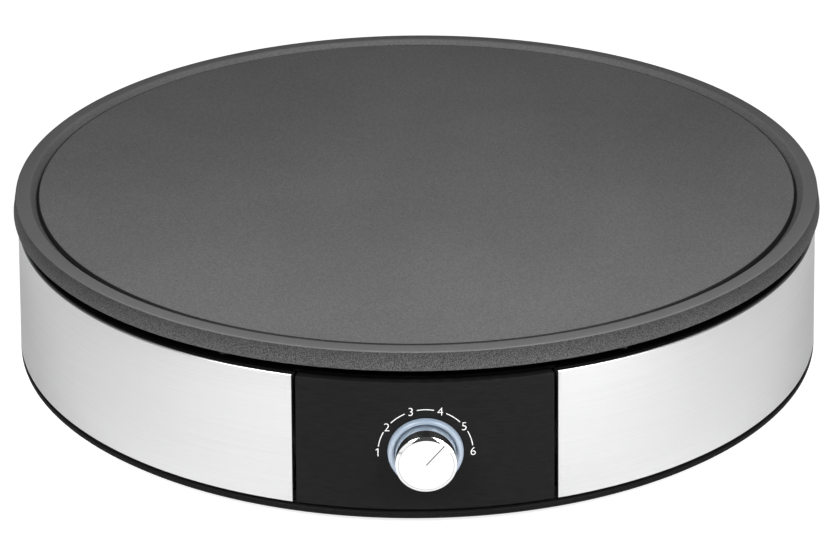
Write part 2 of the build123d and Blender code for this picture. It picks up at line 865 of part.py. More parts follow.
plate_screw = screw(plate_screw_radius, shield_top - pan_floor + pilot_depth - pilot_gap)
with BuildPart() as plate_screws:
    with PolarLocations(plate_boss_circle, plate_boss_count, plate_boss_start):
        with Locations(Plane(origin=(0, 0, pan_floor), z_dir=(0, 0, -1))):
            add(plate_screw)
save(plate_screws.part, "plate_screws")

rim_screw = screw(rim_screw_radius, lip_thickness + band_gauge + pilot_depth - pilot_gap)
with BuildPart() as rim_screws:
    with Locations(*rim_screw_places(deck_top)):
        add(rim_screw)
save(rim_screws.part, "rim_screws")

# ================================================================ steel band
# Flared strip with a turned-in top flange and a return at each end beside the control panel.
flange_bottom = band_top - band_gauge
return_bottom = band_bottom + band_return_rise
band_arc = 360 - 2 * seam_half_angle
return_arc = degrees(band_gauge / band_top_radius)
with BuildPart() as steel_band:
    with BuildSketch(upright(front + seam_half_angle)) as band_section:
        with BuildLine():
            Polyline(
                (band_bottom_radius, band_bottom),
                (band_top_radius, band_top),
                (band_top_radius - band_flange, band_top),
                (band_top_radius - band_flange, flange_bottom),
                (wall_radius(flange_bottom) - band_gauge, flange_bottom),
                (band_bottom_radius - band_gauge, band_bottom),
                close=True,
            )
        make_face()
        chamfer(corner_at(band_section, band_top_radius, band_top), band_bend)
    revolve(axis=Axis.Z, revolution_arc=band_arc)
    for start in (front + seam_half_angle, front - seam_half_angle - return_arc):
        with BuildSketch(upright(start)):
            with BuildLine():
                Polyline(
                    (wall_radius(return_bottom) - band_gauge / 2, return_bottom),
                    (wall_radius(flange_bottom) - band_gauge / 2, flange_bottom),
                    (wall_radius(flange_bottom) - band_return, flange_bottom),
                    (wall_radius(return_bottom) - band_return, return_bottom),
                    close=True,
                )
            make_face()
        revolve(axis=Axis.Z, revolution_arc=return_arc)
    with BuildSketch(Plane.XY.offset(flange_bottom)):
        with Locations(*rim_screw_places()):
            Circle(rim_screw_radius + fit_gap)
    extrude(amount=band_gauge, mode=Mode.SUBTRACT)
    with BuildSketch(facing(rear, band_top_radius - band_flange, gland_height)):
        Circle(gland_neck_radius + fit_gap)
    extrude(amount=2 * band_flange, mode=Mode.SUBTRACT)
save(steel_band.part, "steel_band")

# ================================================================ front panel
# Moulded cover, hollow behind, with the dial boss, the board posts and the screw bosses.
panel_front = wall_radius(knob_height) + panel_proud
panel_arc = 2 * panel_half_angle
panel_side_arc = degrees(panel_wall / panel_front)
panel_outer_bottom = wall_radius(panel_bottom) + panel_proud
panel_outer_top = wall_radius(band_top) + panel_proud
panel_back = panel_front - panel_return
dial_plane = facing(front, panel_front, knob_height)
dial_axis = Axis(dial_plane.origin, dial_plane.z_dir)
ring_seat = panel_front - ring_seat_depth
ring_hole = ring_radius + fit_gap
board_front = ring_seat - ring_flange - board_gap
board_back = board_front - board_thickness
inner_face = panel_front - panel_wall
bracket_front = panel_front - thermostat_setback
bracket_back = bracket_front - bracket_gauge
collar_back = bracket_back - collar_gauge
thermostat_back = collar_back - thermostat_depth
with BuildPart() as front_panel:
    with BuildSketch(upright(front - panel_half_angle)):
        with BuildLine():
            Polyline(
                (panel_outer_bottom, panel_bottom),
                (panel_outer_top, band_top),
                (panel_back, band_top),
                (panel_back, band_top - panel_flange),
                (panel_outer_top - panel_wall, band_top - panel_flange),
                (panel_outer_bottom - panel_wall, panel_bottom + panel_flange),
                (panel_back, panel_bottom + panel_flange),
                (panel_back, panel_bottom),
                close=True,
            )
        make_face()
    revolve(axis=Axis.Z, revolution_arc=panel_arc)
    for start in (front - panel_half_angle, front + panel_half_angle - panel_side_arc):
        with BuildSketch(upright(start)):
            with BuildLine():
                Polyline(
                    (panel_outer_bottom - panel_wall / 2, panel_bottom + panel_flange / 2),
                    (panel_outer_top - panel_wall / 2, band_top - panel_flange / 2),
                    (panel_back, band_top - panel_flange / 2),
                    (panel_back, panel_bottom + panel_flange / 2),
                    close=True,
                )
            make_face()
        revolve(axis=Axis.Z, revolution_arc=panel_side_arc)
    with BuildSketch(facing(front, ring_seat, knob_height)):
        Circle(ring_hole + dial_boss_wall)
    extrude(amount=inner_face - ring_seat + bite)
    with BuildSketch(facing(front, board_front, knob_height)):
        with PolarLocations(board_screw_circle, board_screw_count, board_screw_start):
            Circle(board_post_radius)
    extrude(amount=inner_face - board_front + bite)
    for side in (-1, 1):
        for height in panel_screw_heights:
            with BuildSketch(facing(front + side * panel_screw_angle, lug_radius + lug_wall, height)):
                Circle(panel_boss_radius)
            extrude(amount=inner_face - lug_radius - lug_wall + bite)
            with BuildSketch(facing(front + side * panel_screw_angle, lug_radius + lug_wall, height)):
                Circle(small_screw_radius + running_gap)
            extrude(amount=small_pilot, mode=Mode.SUBTRACT)
    with BuildSketch(facing(front, ring_seat, knob_height)):
        Circle(ring_hole)
    extrude(amount=2 * ring_seat_depth, mode=Mode.SUBTRACT)
    with BuildSketch(facing(front, board_front, knob_height)):
        with PolarLocations(board_screw_circle, board_screw_count, board_screw_start):
            Circle(board_screw_radius + running_gap)
    extrude(amount=small_pilot, mode=Mode.SUBTRACT)
save(front_panel.part, "front_panel")

panel_screw = screw(small_screw_radius, lug_wall + small_pilot - pilot_gap)
with BuildPart() as panel_screws:
    for side in (-1, 1):
        for height in panel_screw_heights:
            inward = facing(front + side * panel_screw_angle, lug_radius, height)
            with Locations(Plane(origin=inward.origin, x_dir=inward.x_dir, z_dir=-inward.z_dir)):
                add(panel_screw)
save(panel_screws.part, "panel_screws")

# ================================================================ light ring, board and lamps
with BuildPart() as light_ring:
    with BuildSketch(section_of(dial_plane)):
        with BuildLine():
            Polyline(
                (ring_radius, 0),
                (ring_radius, -ring_seat_depth),
                (ring_flange_radius, -ring_seat_depth),
                (ring_flange_radius, -ring_seat_depth - ring_flange),
                (knob_bore, -ring_seat_depth - ring_flange),
                (knob_bore, ring_rise - ring_edge),
                (knob_bore + ring_edge, ring_rise),
            )
            RadiusArc((knob_bore + ring_edge, ring_rise), (ring_radius, 0), ring_crown)
        make_face()
    revolve(axis=dial_axis)
save(light_ring.part, "light_ring")

with BuildPart() as lamp_board:
    with BuildSketch(facing(front, board_back, knob_height)):
        Circle(board_radius)
        Circle(board_hole_radius, mode=Mode.SUBTRACT)
        with PolarLocations(board_screw_circle, board_screw_count, board_screw_start):
            Circle(board_screw_radius + fit_gap, mode=Mode.SUBTRACT)
    extrude(amount=board_thickness)
save(lamp_board.part, "lamp_board")

with BuildPart() as lamps:
    with BuildSketch(facing(front, board_front, knob_height)):
        with PolarLocations(led_circle, led_count):
            Rectangle(led_size, led_size)
    extrude(amount=board_gap - fit_gap)
save(lamps.part, "lamps")

board_screw = screw(board_screw_radius, board_thickness + small_pilot - pilot_gap)
inward = facing(front, board_back, knob_height)
with BuildPart() as board_screws:
    with Locations(Plane(origin=inward.origin, x_dir=-inward.x_dir, z_dir=-inward.z_dir)):
        with PolarLocations(board_screw_circle, board_screw_count, board_screw_start):
            add(board_screw)
save(board_screws.part, "board_screws")


# ================================================================ knob
# Chrome cap over a moulded core; the core's hub grips the flat of the spindle.
cap_inside = knob_radius - knob_wall
cap_ceiling = knob_reach - knob_wall
face_radius = knob_radius - knob_chamfer_width
core_radius = cap_inside - running_gap
core_top = cap_ceiling - running_gap
core_bottom = core_inset - knob_skirt_depth
hub_end = board_back - panel_front - hub_tail
spindle_top = bore_top - core_inset

with BuildPart() as knob_cap:
    with BuildSketch(section_of(dial_plane)):
        with BuildLine():
            Polyline(
                (0, knob_reach),
                (face_radius, knob_reach),
                (knob_radius, knob_reach - knob_chamfer_depth),
                (knob_radius, -knob_skirt_depth),
                (cap_inside, -knob_skirt_depth),
                (cap_inside, cap_ceiling - knob_chamfer_depth),
                (cap_inside - knob_chamfer_depth, cap_ceiling),
                (0, cap_ceiling),
                close=True,
            )
        make_face()
    revolve(axis=dial_axis)
    with BuildSketch(dial_plane.offset(knob_reach)):
        with PolarLocations(face_radius / 2, 1, knob_rest_angle):
            Rectangle(face_radius, pointer_width)
    extrude(amount=-pointer_depth, mode=Mode.SUBTRACT)
save(knob_cap.part, "knob_cap")

with BuildPart() as knob_core:
    with BuildSketch(dial_plane.offset(core_bottom)):
        Circle(core_radius)
    extrude(amount=core_top - core_bottom)
    chamfer(knob_core.faces().sort_by(Axis.Y)[0].edges(), knob_chamfer_depth)
    with BuildSketch(dial_plane.offset(core_bottom)):
        Circle(core_radius - core_wall)
        Circle(hub_radius, mode=Mode.SUBTRACT)
        Rectangle(2 * core_radius, core_web, mode=Mode.SUBTRACT)
        Rectangle(core_web, 2 * core_radius, mode=Mode.SUBTRACT)
    extrude(amount=core_top - core_bottom - core_face, mode=Mode.SUBTRACT)
    with BuildSketch(dial_plane.offset(hub_end)):
        Circle(hub_radius)
    extrude(amount=core_bottom - hub_end)
    with BuildSketch(dial_plane.offset(hub_end)):
        Circle(spindle_radius + running_gap)
        with Locations((0, spindle_radius + spindle_flat + running_gap)):
            Rectangle(4 * spindle_radius, 2 * spindle_radius, mode=Mode.SUBTRACT)
    extrude(amount=bore_top - hub_end, mode=Mode.SUBTRACT)
save(knob_core.part, "knob_core")

# open spring ring that squeezes the hub on the spindle
with BuildPart() as knob_spring:
    with BuildSketch(dial_plane.offset(hub_end + spring_inset)):
        Circle(hub_radius + running_gap + clip_gauge)
        Circle(hub_radius + running_gap, mode=Mode.SUBTRACT)
        with Locations((0, -hub_radius)):
            Rectangle(spring_opening, 2 * hub_radius, mode=Mode.SUBTRACT)
    extrude(amount=spring_width)
save(knob_spring.part, "knob_spring")

spindle_bottom = collar_back - spindle_inside - panel_front
with BuildPart() as spindle:
    with BuildSketch(dial_plane.offset(spindle_bottom)):
        Circle(spindle_radius)
    extrude(amount=spindle_top - spindle_bottom)
    with BuildSketch(dial_plane.offset(spindle_top)):
        with Locations((0, spindle_radius + spindle_flat)):
            Rectangle(4 * spindle_radius, 2 * spindle_radius)
    extrude(amount=hub_end - spindle_top - flat_runout, mode=Mode.SUBTRACT)
    chamfer(spindle.faces().sort_by(Axis.Y)[0].edges(), spindle_bevel)
save(spindle.part, "spindle")

# ================================================================ thermostat
foot_z = tray_top + block_stand
with BuildPart() as thermostat_bracket:
    with BuildSketch(facing(front, bracket_front, knob_height)):
        with Locations((0, foot_z + bracket_height / 2 - knob_height)):
            Rectangle(bracket_width, bracket_height)
        Circle(collar_radius + fit_gap, mode=Mode.SUBTRACT)
        with GridLocations(thermostat_screw_pitch, 0, 2, 1):
            Circle(clamp_screw_radius + fit_gap, mode=Mode.SUBTRACT)
    extrude(amount=-bracket_gauge)
    with BuildSketch(Plane.XY.offset(foot_z)):
        with Locations((0, -bracket_back + bracket_foot / 2)):
            Rectangle(bracket_width, bracket_foot)
            with GridLocations(bracket_foot_pitch, 0, 2, 1):
                Circle(small_screw_radius + fit_gap, mode=Mode.SUBTRACT)
    extrude(amount=bracket_gauge)
save(thermostat_bracket.part, "thermostat_bracket")

bracket_screw = screw(small_screw_radius, bracket_gauge + block_stand - slide_gap)
with BuildPart() as bracket_screws:
    with Locations((0, -bracket_back + bracket_foot / 2, foot_z + bracket_gauge)):
        with GridLocations(bracket_foot_pitch, 0, 2, 1):
            add(bracket_screw)
save(bracket_screws.part, "bracket_screws")

with BuildPart() as thermostat_collar:
    with BuildSketch(facing(front, collar_back, knob_height)):
        Rectangle(thermostat_width, collar_height)
        with GridLocations(thermostat_screw_pitch, 0, 2, 1):
            Circle(clamp_screw_radius + fit_gap, mode=Mode.SUBTRACT)
    extrude(amount=collar_gauge)
    with BuildSketch(facing(front, collar_back, knob_height)):
        Circle(collar_radius)
    extrude(amount=collar_gauge + collar_length)
    with BuildSketch(facing(front, collar_back, knob_height)):
        Circle(spindle_radius + running_gap)
    extrude(amount=collar_gauge + collar_length, mode=Mode.SUBTRACT)
save(thermostat_collar.part, "thermostat_collar")

body_plane = facing(front, collar_back, knob_height)
back_plane = facing(rear, thermostat_depth - collar_back, knob_height)
thermostat_tabs = [
    Plane(origin=(x, -thermostat_back, z), x_dir=(0, 0, 1), z_dir=(0, 1, 0))
    for z in (knob_height, lamp_tab_z)
    for x in (-main_tab_x, main_tab_x)
]
thermostat_blades = [tab(plane) for plane in thermostat_tabs]
with BuildPart() as thermostat_body:
    with BuildSketch(body_plane):
        Rectangle(thermostat_width, thermostat_height)
    extrude(amount=-thermostat_depth)
    with BuildSketch(back_plane):
        with Locations((-capillary_inlet_x, capillary_inlet_z)):
            Circle(capillary_radius + inlet_wall)
    extrude(amount=inlet_height)
    with BuildSketch(body_plane):
        Circle(spindle_radius + slide_gap)
    extrude(amount=-spindle_inside - pilot_gap, mode=Mode.SUBTRACT)
    with BuildSketch(body_plane):
        with GridLocations(thermostat_screw_pitch, 0, 2, 1):
            Circle(clamp_screw_radius + running_gap)
    extrude(amount=-small_pilot, mode=Mode.SUBTRACT)
    add(thermostat_blades)
save(thermostat_body.part, "thermostat_body")

thermostat_screw = screw(clamp_screw_radius, bracket_gauge + collar_gauge + small_pilot - pilot_gap)
with BuildPart() as thermostat_screws:
    with Locations(facing(front, bracket_front, knob_height)):
        with GridLocations(thermostat_screw_pitch, 0, 2, 1):
            add(thermostat_screw)
save(thermostat_screws.part, "thermostat_screws")

# ================================================================ base tray
# Moulded floor with the outer ring that carries the band, posts, ribs, vents and sockets.
post_height = flange_bottom - tray_top
tray_wall_outer = wall_radius(band_bottom + tray_wall_height) - band_gauge - 2 * fit_gap
tray_wall_inner = tray_wall_outer - tray_wall
tray_rib_end = tray_wall_inner + bite
ring_foot_radius = base_ring_radius - ring_foot_inset
ring_crest = band_bottom - ring_crest_drop
saddle_y = wall_radius(gland_height) - saddle_inset
block_y = wall_radius(gland_height) - block_inset
with BuildPart() as base_tray:
    with BuildSketch(Plane.XZ) as tray_section:
        with BuildLine():
            Polyline(
                (0, base_bottom),
                (ring_foot_radius, base_bottom),
                (base_ring_radius, ring_crest),
                (band_bottom_radius + ring_crest_gap, band_bottom),
                (tray_wall_outer, band_bottom),
                (tray_wall_outer, band_bottom + tray_wall_height),
                (tray_wall_inner, band_bottom + tray_wall_height),
                (tray_wall_inner, tray_top),
                (0, tray_top),
                close=True,
            )
        make_face()
        chamfer(corner_at(tray_section, ring_foot_radius, base_bottom), ring_foot_bevel)
        chamfer(corner_at(tray_section, base_ring_radius, ring_crest), ring_crest_bevel)
    revolve(axis=Axis.Z)
    with BuildSketch(upright(front - panel_half_angle - tray_gap_angle)):
        with Locations((tray_wall_outer - tray_wall / 2, band_bottom + tray_wall_height)):
            Rectangle(2 * tray_wall, 2 * tray_wall_height)
    revolve(axis=Axis.Z, revolution_arc=panel_arc + 2 * tray_gap_angle, mode=Mode.SUBTRACT)
    with BuildSketch(Plane.XY.offset(tray_top)):
        Circle(tray_rib_circle + tray_rib)
        Circle(tray_rib_circle, mode=Mode.SUBTRACT)
        with PolarLocations(tray_rib_circle / 2, tray_rib_count):
            Rectangle(tray_rib_circle + tray_rib, tray_rib)
        for angle in rim_screw_angles:
            with PolarLocations((tray_rib_circle + tray_rib_end) / 2, 1, angle):
                Rectangle(tray_rib_end - tray_rib_circle, tray_rib)
    extrude(amount=tray_rib_height)
    with BuildSketch(Plane.XY.offset(base_bottom)):
        with PolarLocations(plate_radius - vent_inset, vent_count, vent_start):
            Rectangle(vent_length, vent_width)
        with PolarLocations(inner_vent_circle, tray_rib_count, inner_vent_start):
            Rectangle(vent_length, vent_width)
        with PolarLocations(foot_circle, foot_count, foot_start):
            Circle(foot_stem_radius)
    extrude(amount=tray_floor, mode=Mode.SUBTRACT)
    with BuildSketch(Plane.XY.offset(tray_top)):
        with Locations(*rim_screw_places()):
            Circle(post_radius)
    extrude(amount=post_height)
    with BuildSketch(Plane.XY.offset(tray_top)):
        with Locations((0, -bracket_back + bracket_foot / 2)):
            with GridLocations(bracket_foot_pitch, 0, 2, 1):
                Circle(post_radius)
        with Locations((0, block_y)):
            with GridLocations(block_pole_pitch, 0, 2, 1):
                Circle(post_radius)
    extrude(amount=block_stand)
    for side in (-1, 1):
        lug_plane = facing(front + side * panel_screw_angle, lug_radius, 0)
        with BuildSketch(lug_plane):
            with Locations((0, (tray_top + lug_top) / 2)):
                Rectangle(lug_width, lug_top - tray_top)
        extrude(amount=lug_wall)
        with BuildSketch(lug_plane):
            with Locations(*[(0, height) for height in panel_screw_heights]):
                Circle(small_screw_radius + fit_gap)
        extrude(amount=lug_wall, mode=Mode.SUBTRACT)
    with BuildSketch(facing(rear, saddle_y - saddle_web / 2, 0)):
        with Locations((0, (tray_top + gland_height) / 2)):
            Rectangle(saddle_pitch + saddle_width, gland_height - tray_top)
        with Locations((0, gland_height)):
            Circle(cord_radius + cord_gap, mode=Mode.SUBTRACT)
    extrude(amount=saddle_web)
    with BuildSketch(Plane.XY.offset(flange_bottom)):
        with Locations(*rim_screw_places()):
            Circle(rim_screw_radius + running_gap)
    extrude(amount=-pilot_depth, mode=Mode.SUBTRACT)
    with BuildSketch(Plane.XY.offset(foot_z)):
        with Locations((0, -bracket_back + bracket_foot / 2)):
            with GridLocations(bracket_foot_pitch, 0, 2, 1):
                Circle(small_screw_radius + running_gap)
        with Locations((0, block_y)):
            with GridLocations(block_pole_pitch, 0, 2, 1):
                Circle(small_screw_radius + running_gap)
    extrude(amount=-block_stand, mode=Mode.SUBTRACT)
    with BuildSketch(Plane.XY.offset(gland_height)):
        with Locations((0, saddle_y)):
            with GridLocations(saddle_pitch, 0, 2, 1):
                Circle(small_screw_radius + running_gap)
    extrude(amount=-pilot_depth, mode=Mode.SUBTRACT)
save(base_tray.part, "base_tray")

# rubber foot with a stem that snaps through the floor
with BuildPart() as foot:
    with BuildSketch(Plane.XZ):
        with BuildLine():
            Polyline(
                (0, 0),
                (foot_radius - foot_bevel, 0),
                (foot_radius, foot_bevel),
                (foot_radius, base_bottom),
                (foot_stem_radius - fit_gap, base_bottom),
                (foot_stem_radius - fit_gap, tray_top),
                (foot_head_radius, tray_top),
                (foot_head_radius - foot_head_taper, tray_top + foot_head_height),
                (0, tray_top + foot_head_height),
                close=True,
            )
        make_face()
    revolve(axis=Axis.Z)

with BuildPart() as feet:
    with PolarLocations(foot_circle, foot_count, foot_start):
        add(foot.part)
save(feet.part, "feet")


# ================================================================ supply side
gland_plane = facing(rear, 0, gland_height)
band_at_gland = wall_radius(gland_height)
gland_seat = wall_radius(gland_height - gland_flange_radius) + fit_gap
inner_wall_at_gland = wall_radius(gland_height + gland_flange_radius) - band_gauge
gland_inside = sqrt(inner_wall_at_gland**2 - gland_flange_radius**2) - fit_gap
gland_tip = band_at_gland + gland_reach
gland_bore = cord_radius + cord_gap
with BuildPart() as cord_gland:
    with BuildSketch(section_of(gland_plane)):
        with BuildLine():
            Polyline(
                (gland_bore, gland_inside - gland_flange),
                (gland_flange_radius, gland_inside - gland_flange),
                (gland_flange_radius, gland_inside),
                (gland_neck_radius, gland_inside),
                (gland_neck_radius, gland_seat),
                (gland_flange_radius, gland_seat),
                (gland_flange_radius, gland_seat + gland_flange),
                (gland_tip_radius, gland_tip),
                (gland_bore, gland_tip),
                close=True,
            )
        make_face()
    revolve(axis=Axis(gland_plane.origin, gland_plane.z_dir))
save(cord_gland.part, "cord_gland")

with BuildPart() as cord_saddle:
    with BuildSketch(facing(rear, saddle_y - saddle_width / 2, gland_height)):
        with Locations((0, saddle_gauge / 2)):
            Rectangle(saddle_pitch + saddle_width, saddle_gauge)
        Circle(cord_radius + cord_gap + saddle_gauge)
        with Locations((0, -saddle_width)):
            Rectangle(4 * saddle_width, 2 * saddle_width, mode=Mode.SUBTRACT)
        Circle(cord_radius + cord_gap, mode=Mode.SUBTRACT)
    extrude(amount=saddle_width)
    with BuildSketch(Plane.XY.offset(gland_height)):
        with Locations((0, saddle_y)):
            with GridLocations(saddle_pitch, 0, 2, 1):
                Circle(small_screw_radius + fit_gap)
    extrude(amount=saddle_gauge, mode=Mode.SUBTRACT)
save(cord_saddle.part, "cord_saddle")

saddle_screw = screw(small_screw_radius, saddle_gauge + pilot_depth - pilot_gap)
with BuildPart() as saddle_screws:
    with Locations((0, saddle_y, gland_height + saddle_gauge)):
        with GridLocations(saddle_pitch, 0, 2, 1):
            add(saddle_screw)
save(saddle_screws.part, "saddle_screws")

# three-pole terminal block: cross bores for the leads, wells for the pinch screws
block_bottom = tray_top + block_stand
block_top = block_bottom + block_height
pole_z = block_bottom + pole_rise
pole_radius = lead_radius + pole_gap
with BuildPart() as terminal_block:
    with BuildSketch(Plane.XY.offset(block_bottom)):
        with Locations((0, block_y)):
            Rectangle(block_width, block_depth)
    extrude(amount=block_height)
    with BuildSketch(facing(rear, block_y - block_depth / 2, pole_z)):
        with GridLocations(block_pole_pitch, 0, 3, 1):
            Circle(pole_radius)
    extrude(amount=block_depth, mode=Mode.SUBTRACT)
    with BuildSketch(Plane.XY.offset(pole_z)):
        with Locations((0, block_y)):
            with GridLocations(block_pole_pitch, block_screw_pitch, 3, 2):
                Circle(well_radius)
    extrude(amount=block_top - pole_z, mode=Mode.SUBTRACT)
    with BuildSketch(Plane.XY.offset(block_bottom)):
        with Locations((0, block_y)):
            with GridLocations(block_pole_pitch, 0, 2, 1):
                Circle(small_screw_radius + fit_gap)
    extrude(amount=block_height, mode=Mode.SUBTRACT)
save(terminal_block.part, "terminal_block")

pinch_bottom = pole_z + lead_radius + fit_gap
with BuildPart() as pinch_screws:
    with BuildSketch(Plane.XY.offset(pinch_bottom)):
        with Locations((0, block_y)):
            with GridLocations(block_pole_pitch, block_screw_pitch, 3, 2):
                Circle(pinch_screw_radius)
    extrude(amount=pinch_length)
save(pinch_screws.part, "pinch_screws")

block_screw = screw(small_screw_radius, block_height + block_stand - slide_gap)
with BuildPart() as block_screws:
    with Locations((0, block_y, block_top)):
        with GridLocations(block_pole_pitch, 0, 2, 1):
            add(block_screw)
save(block_screws.part, "block_screws")

# ================================================================ earth point under the pan
tag_bottom = pan_floor - tag_gauge
with BuildPart() as earth_tag:
    with BuildSketch(Plane.XY.offset(tag_bottom)):
        with Locations((earth_x, earth_y)):
            Circle(tag_radius)
        with Locations((earth_x - tag_length / 2, earth_y)):
            Rectangle(tag_length, tag_radius)
        with Locations((earth_x, earth_y)):
            Circle(clamp_screw_radius + fit_gap, mode=Mode.SUBTRACT)
    extrude(amount=tag_gauge)
save(earth_tag.part, "earth_tag")

earth_bolt = screw(clamp_screw_radius, tag_gauge + pan_gauge + nut_height)
with BuildPart() as earth_screw:
    with Locations(Plane(origin=(earth_x, earth_y, tag_bottom), z_dir=(0, 0, -1))):
        add(earth_bolt)
save(earth_screw.part, "earth_screw")

with BuildPart() as earth_nut:
    with BuildSketch(Plane.XY.offset(pan_floor_top)):
        with Locations((earth_x, earth_y)):
            RegularPolygon(nut_radius, 6)
            Circle(clamp_screw_radius + running_gap, mode=Mode.SUBTRACT)
    extrude(amount=nut_height)
save(earth_nut.part, "earth_nut")

# ================================================================ leads
crimp_planes = leg_tabs + cutout_tabs + thermostat_tabs
crimp_bodies = [crimp(plane) for plane in crimp_planes]
with BuildPart() as crimp_connectors:
    add(crimp_bodies)
save(crimp_connectors.part, "crimp_connectors")


def behind_crimp(plane, extra=0):
    # where a lead meets the crimp on a tab, or a point straight behind it
    return tuple(plane.origin + plane.z_dir * (crimp_gap + crimp_length + extra))


def in_pole(index, extra=0):
    # where a lead ends in a pole of the terminal block, or a point in front of it
    inside = block_y - block_depth / 2 + pole_grip
    return (index * block_pole_pitch, inside - extra, pole_z)


lead_drop = pan_floor - 16
tray_run = tray_top + tray_rib_height + 3.5
live_points = [
    in_pole(-1),
    in_pole(-1, 28),
    (-30, 62, tray_run),
    (-36, -30, tray_run),
    (-14, -84, tray_run + 4),
    behind_crimp(thermostat_tabs[1], 26),
    behind_crimp(thermostat_tabs[1]),
]
switched_points = [
    behind_crimp(thermostat_tabs[0]),
    behind_crimp(thermostat_tabs[0], 30),
    (-5, -50, lead_drop),
    (-3, grommet_y, lead_drop - 6),
    (-3, grommet_y, cutout_tab_z),
    (-26, grommet_y + 4, cutout_tab_z),
    behind_crimp(cutout_tabs[0], 10),
    behind_crimp(cutout_tabs[0]),
]
heater_points = [
    behind_crimp(cutout_tabs[1]),
    behind_crimp(cutout_tabs[1], 10),
    (26, grommet_y + 4, cutout_tab_z),
    (3, grommet_y, cutout_tab_z),
    (3, grommet_y, lead_drop - 12),
    (44, -54, tray_run + 9),
    behind_crimp(leg_tabs[0], 20),
    behind_crimp(leg_tabs[0]),
]
neutral_points = [
    in_pole(0),
    in_pole(0, 24),
    (6, 74, tray_run),
    (28, 4, tray_run),
    behind_crimp(leg_tabs[1], 18),
    behind_crimp(leg_tabs[1]),
]
earth_points = [
    in_pole(1),
    in_pole(1, 22),
    (26, 92, tray_run + 12),
    (36, earth_y, tag_bottom - lead_radius),
    (earth_x - tag_length, earth_y, tag_bottom - lead_radius),
]
leads = {
    "live_lead": live_points,
    "switched_lead": switched_points,
    "heater_lead": heater_points,
    "neutral_lead": neutral_points,
    "earth_lead": earth_points,
}
for name, points in leads.items():
    save(lead(points, lead_radius), name)

lamp_tubes = []
for side, plane in ((-1, thermostat_tabs[2]), (1, thermostat_tabs[3])):
    lamp_points = [
        (side * lamp_lead_x, -board_back, lamp_lead_z),
        (side * lamp_lead_x, -board_back + 24, lamp_lead_z),
        (side * lamp_lead_x, -thermostat_back + 24, lamp_lead_z - 4),
        behind_crimp(plane, 14),
        behind_crimp(plane),
    ]
    lamp_tubes.append(lead(lamp_points, lamp_lead_radius))
with BuildPart() as lamp_leads:
    add(lamp_tubes)
save(lamp_leads.part, "lamp_leads")

bulb_end = bulb_centre_x + bulb_length / 2
inlet_y = -thermostat_back + inlet_height
inlet_z = knob_height + capillary_inlet_z
capillary_points = [
    (bulb_end, -element_middle, bulb_z),
    (capillary_x, -element_middle, bulb_z),
    (capillary_x, -element_middle, inlet_z),
    (capillary_inlet_x, -element_middle + 3, inlet_z),
    (capillary_inlet_x, inlet_y, inlet_z),
]
save(lead(capillary_points, capillary_radius), "capillary_tube")
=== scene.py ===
import math

import bpy
from mathutils import Matrix, Vector


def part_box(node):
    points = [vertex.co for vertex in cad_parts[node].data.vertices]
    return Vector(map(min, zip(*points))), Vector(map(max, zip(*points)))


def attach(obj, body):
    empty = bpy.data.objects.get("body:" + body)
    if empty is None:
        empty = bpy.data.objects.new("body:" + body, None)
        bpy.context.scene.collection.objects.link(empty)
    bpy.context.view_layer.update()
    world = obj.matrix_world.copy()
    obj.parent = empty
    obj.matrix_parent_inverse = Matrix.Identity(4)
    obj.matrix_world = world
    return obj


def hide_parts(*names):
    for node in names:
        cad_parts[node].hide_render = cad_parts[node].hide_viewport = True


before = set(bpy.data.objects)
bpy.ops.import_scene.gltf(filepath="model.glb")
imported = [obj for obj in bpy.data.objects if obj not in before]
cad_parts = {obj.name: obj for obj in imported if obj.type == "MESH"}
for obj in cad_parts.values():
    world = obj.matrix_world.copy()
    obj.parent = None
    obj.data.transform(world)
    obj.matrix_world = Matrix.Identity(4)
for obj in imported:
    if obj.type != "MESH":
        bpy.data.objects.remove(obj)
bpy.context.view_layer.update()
bpy.context.scene.view_settings.view_transform = "Standard"
print("frame loaded")

mm = 0.001  # sizes below are in millimetres, Blender works in metres


def low(node, axis):
    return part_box(node)[0][axis] / mm


def high(node, axis):
    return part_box(node)[1][axis] / mm


def middle(node, axis):
    return (low(node, axis) + high(node, axis)) / 2


# sizes that several pieces share
outline = {
    "bandDrop": 0.2,  # the steel reaches a little lower than its node
    "bandGrow": 1.4,  # and is wider at its foot
    "plateShrink": 0.3,  # the plate is a little smaller than its node
    "headInset": 1.9,  # from the plate's edge in to the steel's head
    "lip": 1.2,  # thickness of the dark lip over the steel
    "rimRound": 0.9,
    "skirtHeight": 9.1,
    "knobReach": 12.4,  # from the panel to the knob's face
}
trayBottom = low("base_tray", 2)
trayRadius = high("base_tray", 0)
bandBottom = low("steel_band", 2) - outline["bandDrop"]
bandTop = high("steel_band", 2)
deckTop = bandTop + outline["lip"]
rimTop = high("cooking_plate", 2)
rimShoulder = rimTop - outline["rimRound"]
skirtFoot = rimTop - outline["skirtHeight"]
plateRadius = high("cooking_plate", 0) - outline["plateShrink"]
bandFoot = high("steel_band", 0) + outline["bandGrow"]  # radius of the steel at its lower edge
bandHead = plateRadius - outline["headInset"]  # and at its upper edge
knobHeight = middle("knob_cap", 2)
knobRadius = (high("knob_cap", 0) - low("knob_cap", 0)) / 2
wallFront = -low("knob_cap", 1) - outline["knobReach"]  # the panel's face where the knob is
front = math.radians(-90)
seamNear = 0.01  # degrees off a cut that still count as on it


def wallRadius(z):
    # the steel leans in a little from its foot to its head
    return bandFoot + (bandHead - bandFoot) * (z - bandBottom) / (bandTop - bandBottom)


# modelling helpers
def deselectAll():
    if bpy.context.mode != "OBJECT":
        bpy.ops.object.mode_set(mode="OBJECT")
    bpy.ops.object.select_all(action="DESELECT")


def pickOnly(piece):
    deselectAll()
    piece.select_set(True)
    bpy.context.view_layer.objects.active = piece


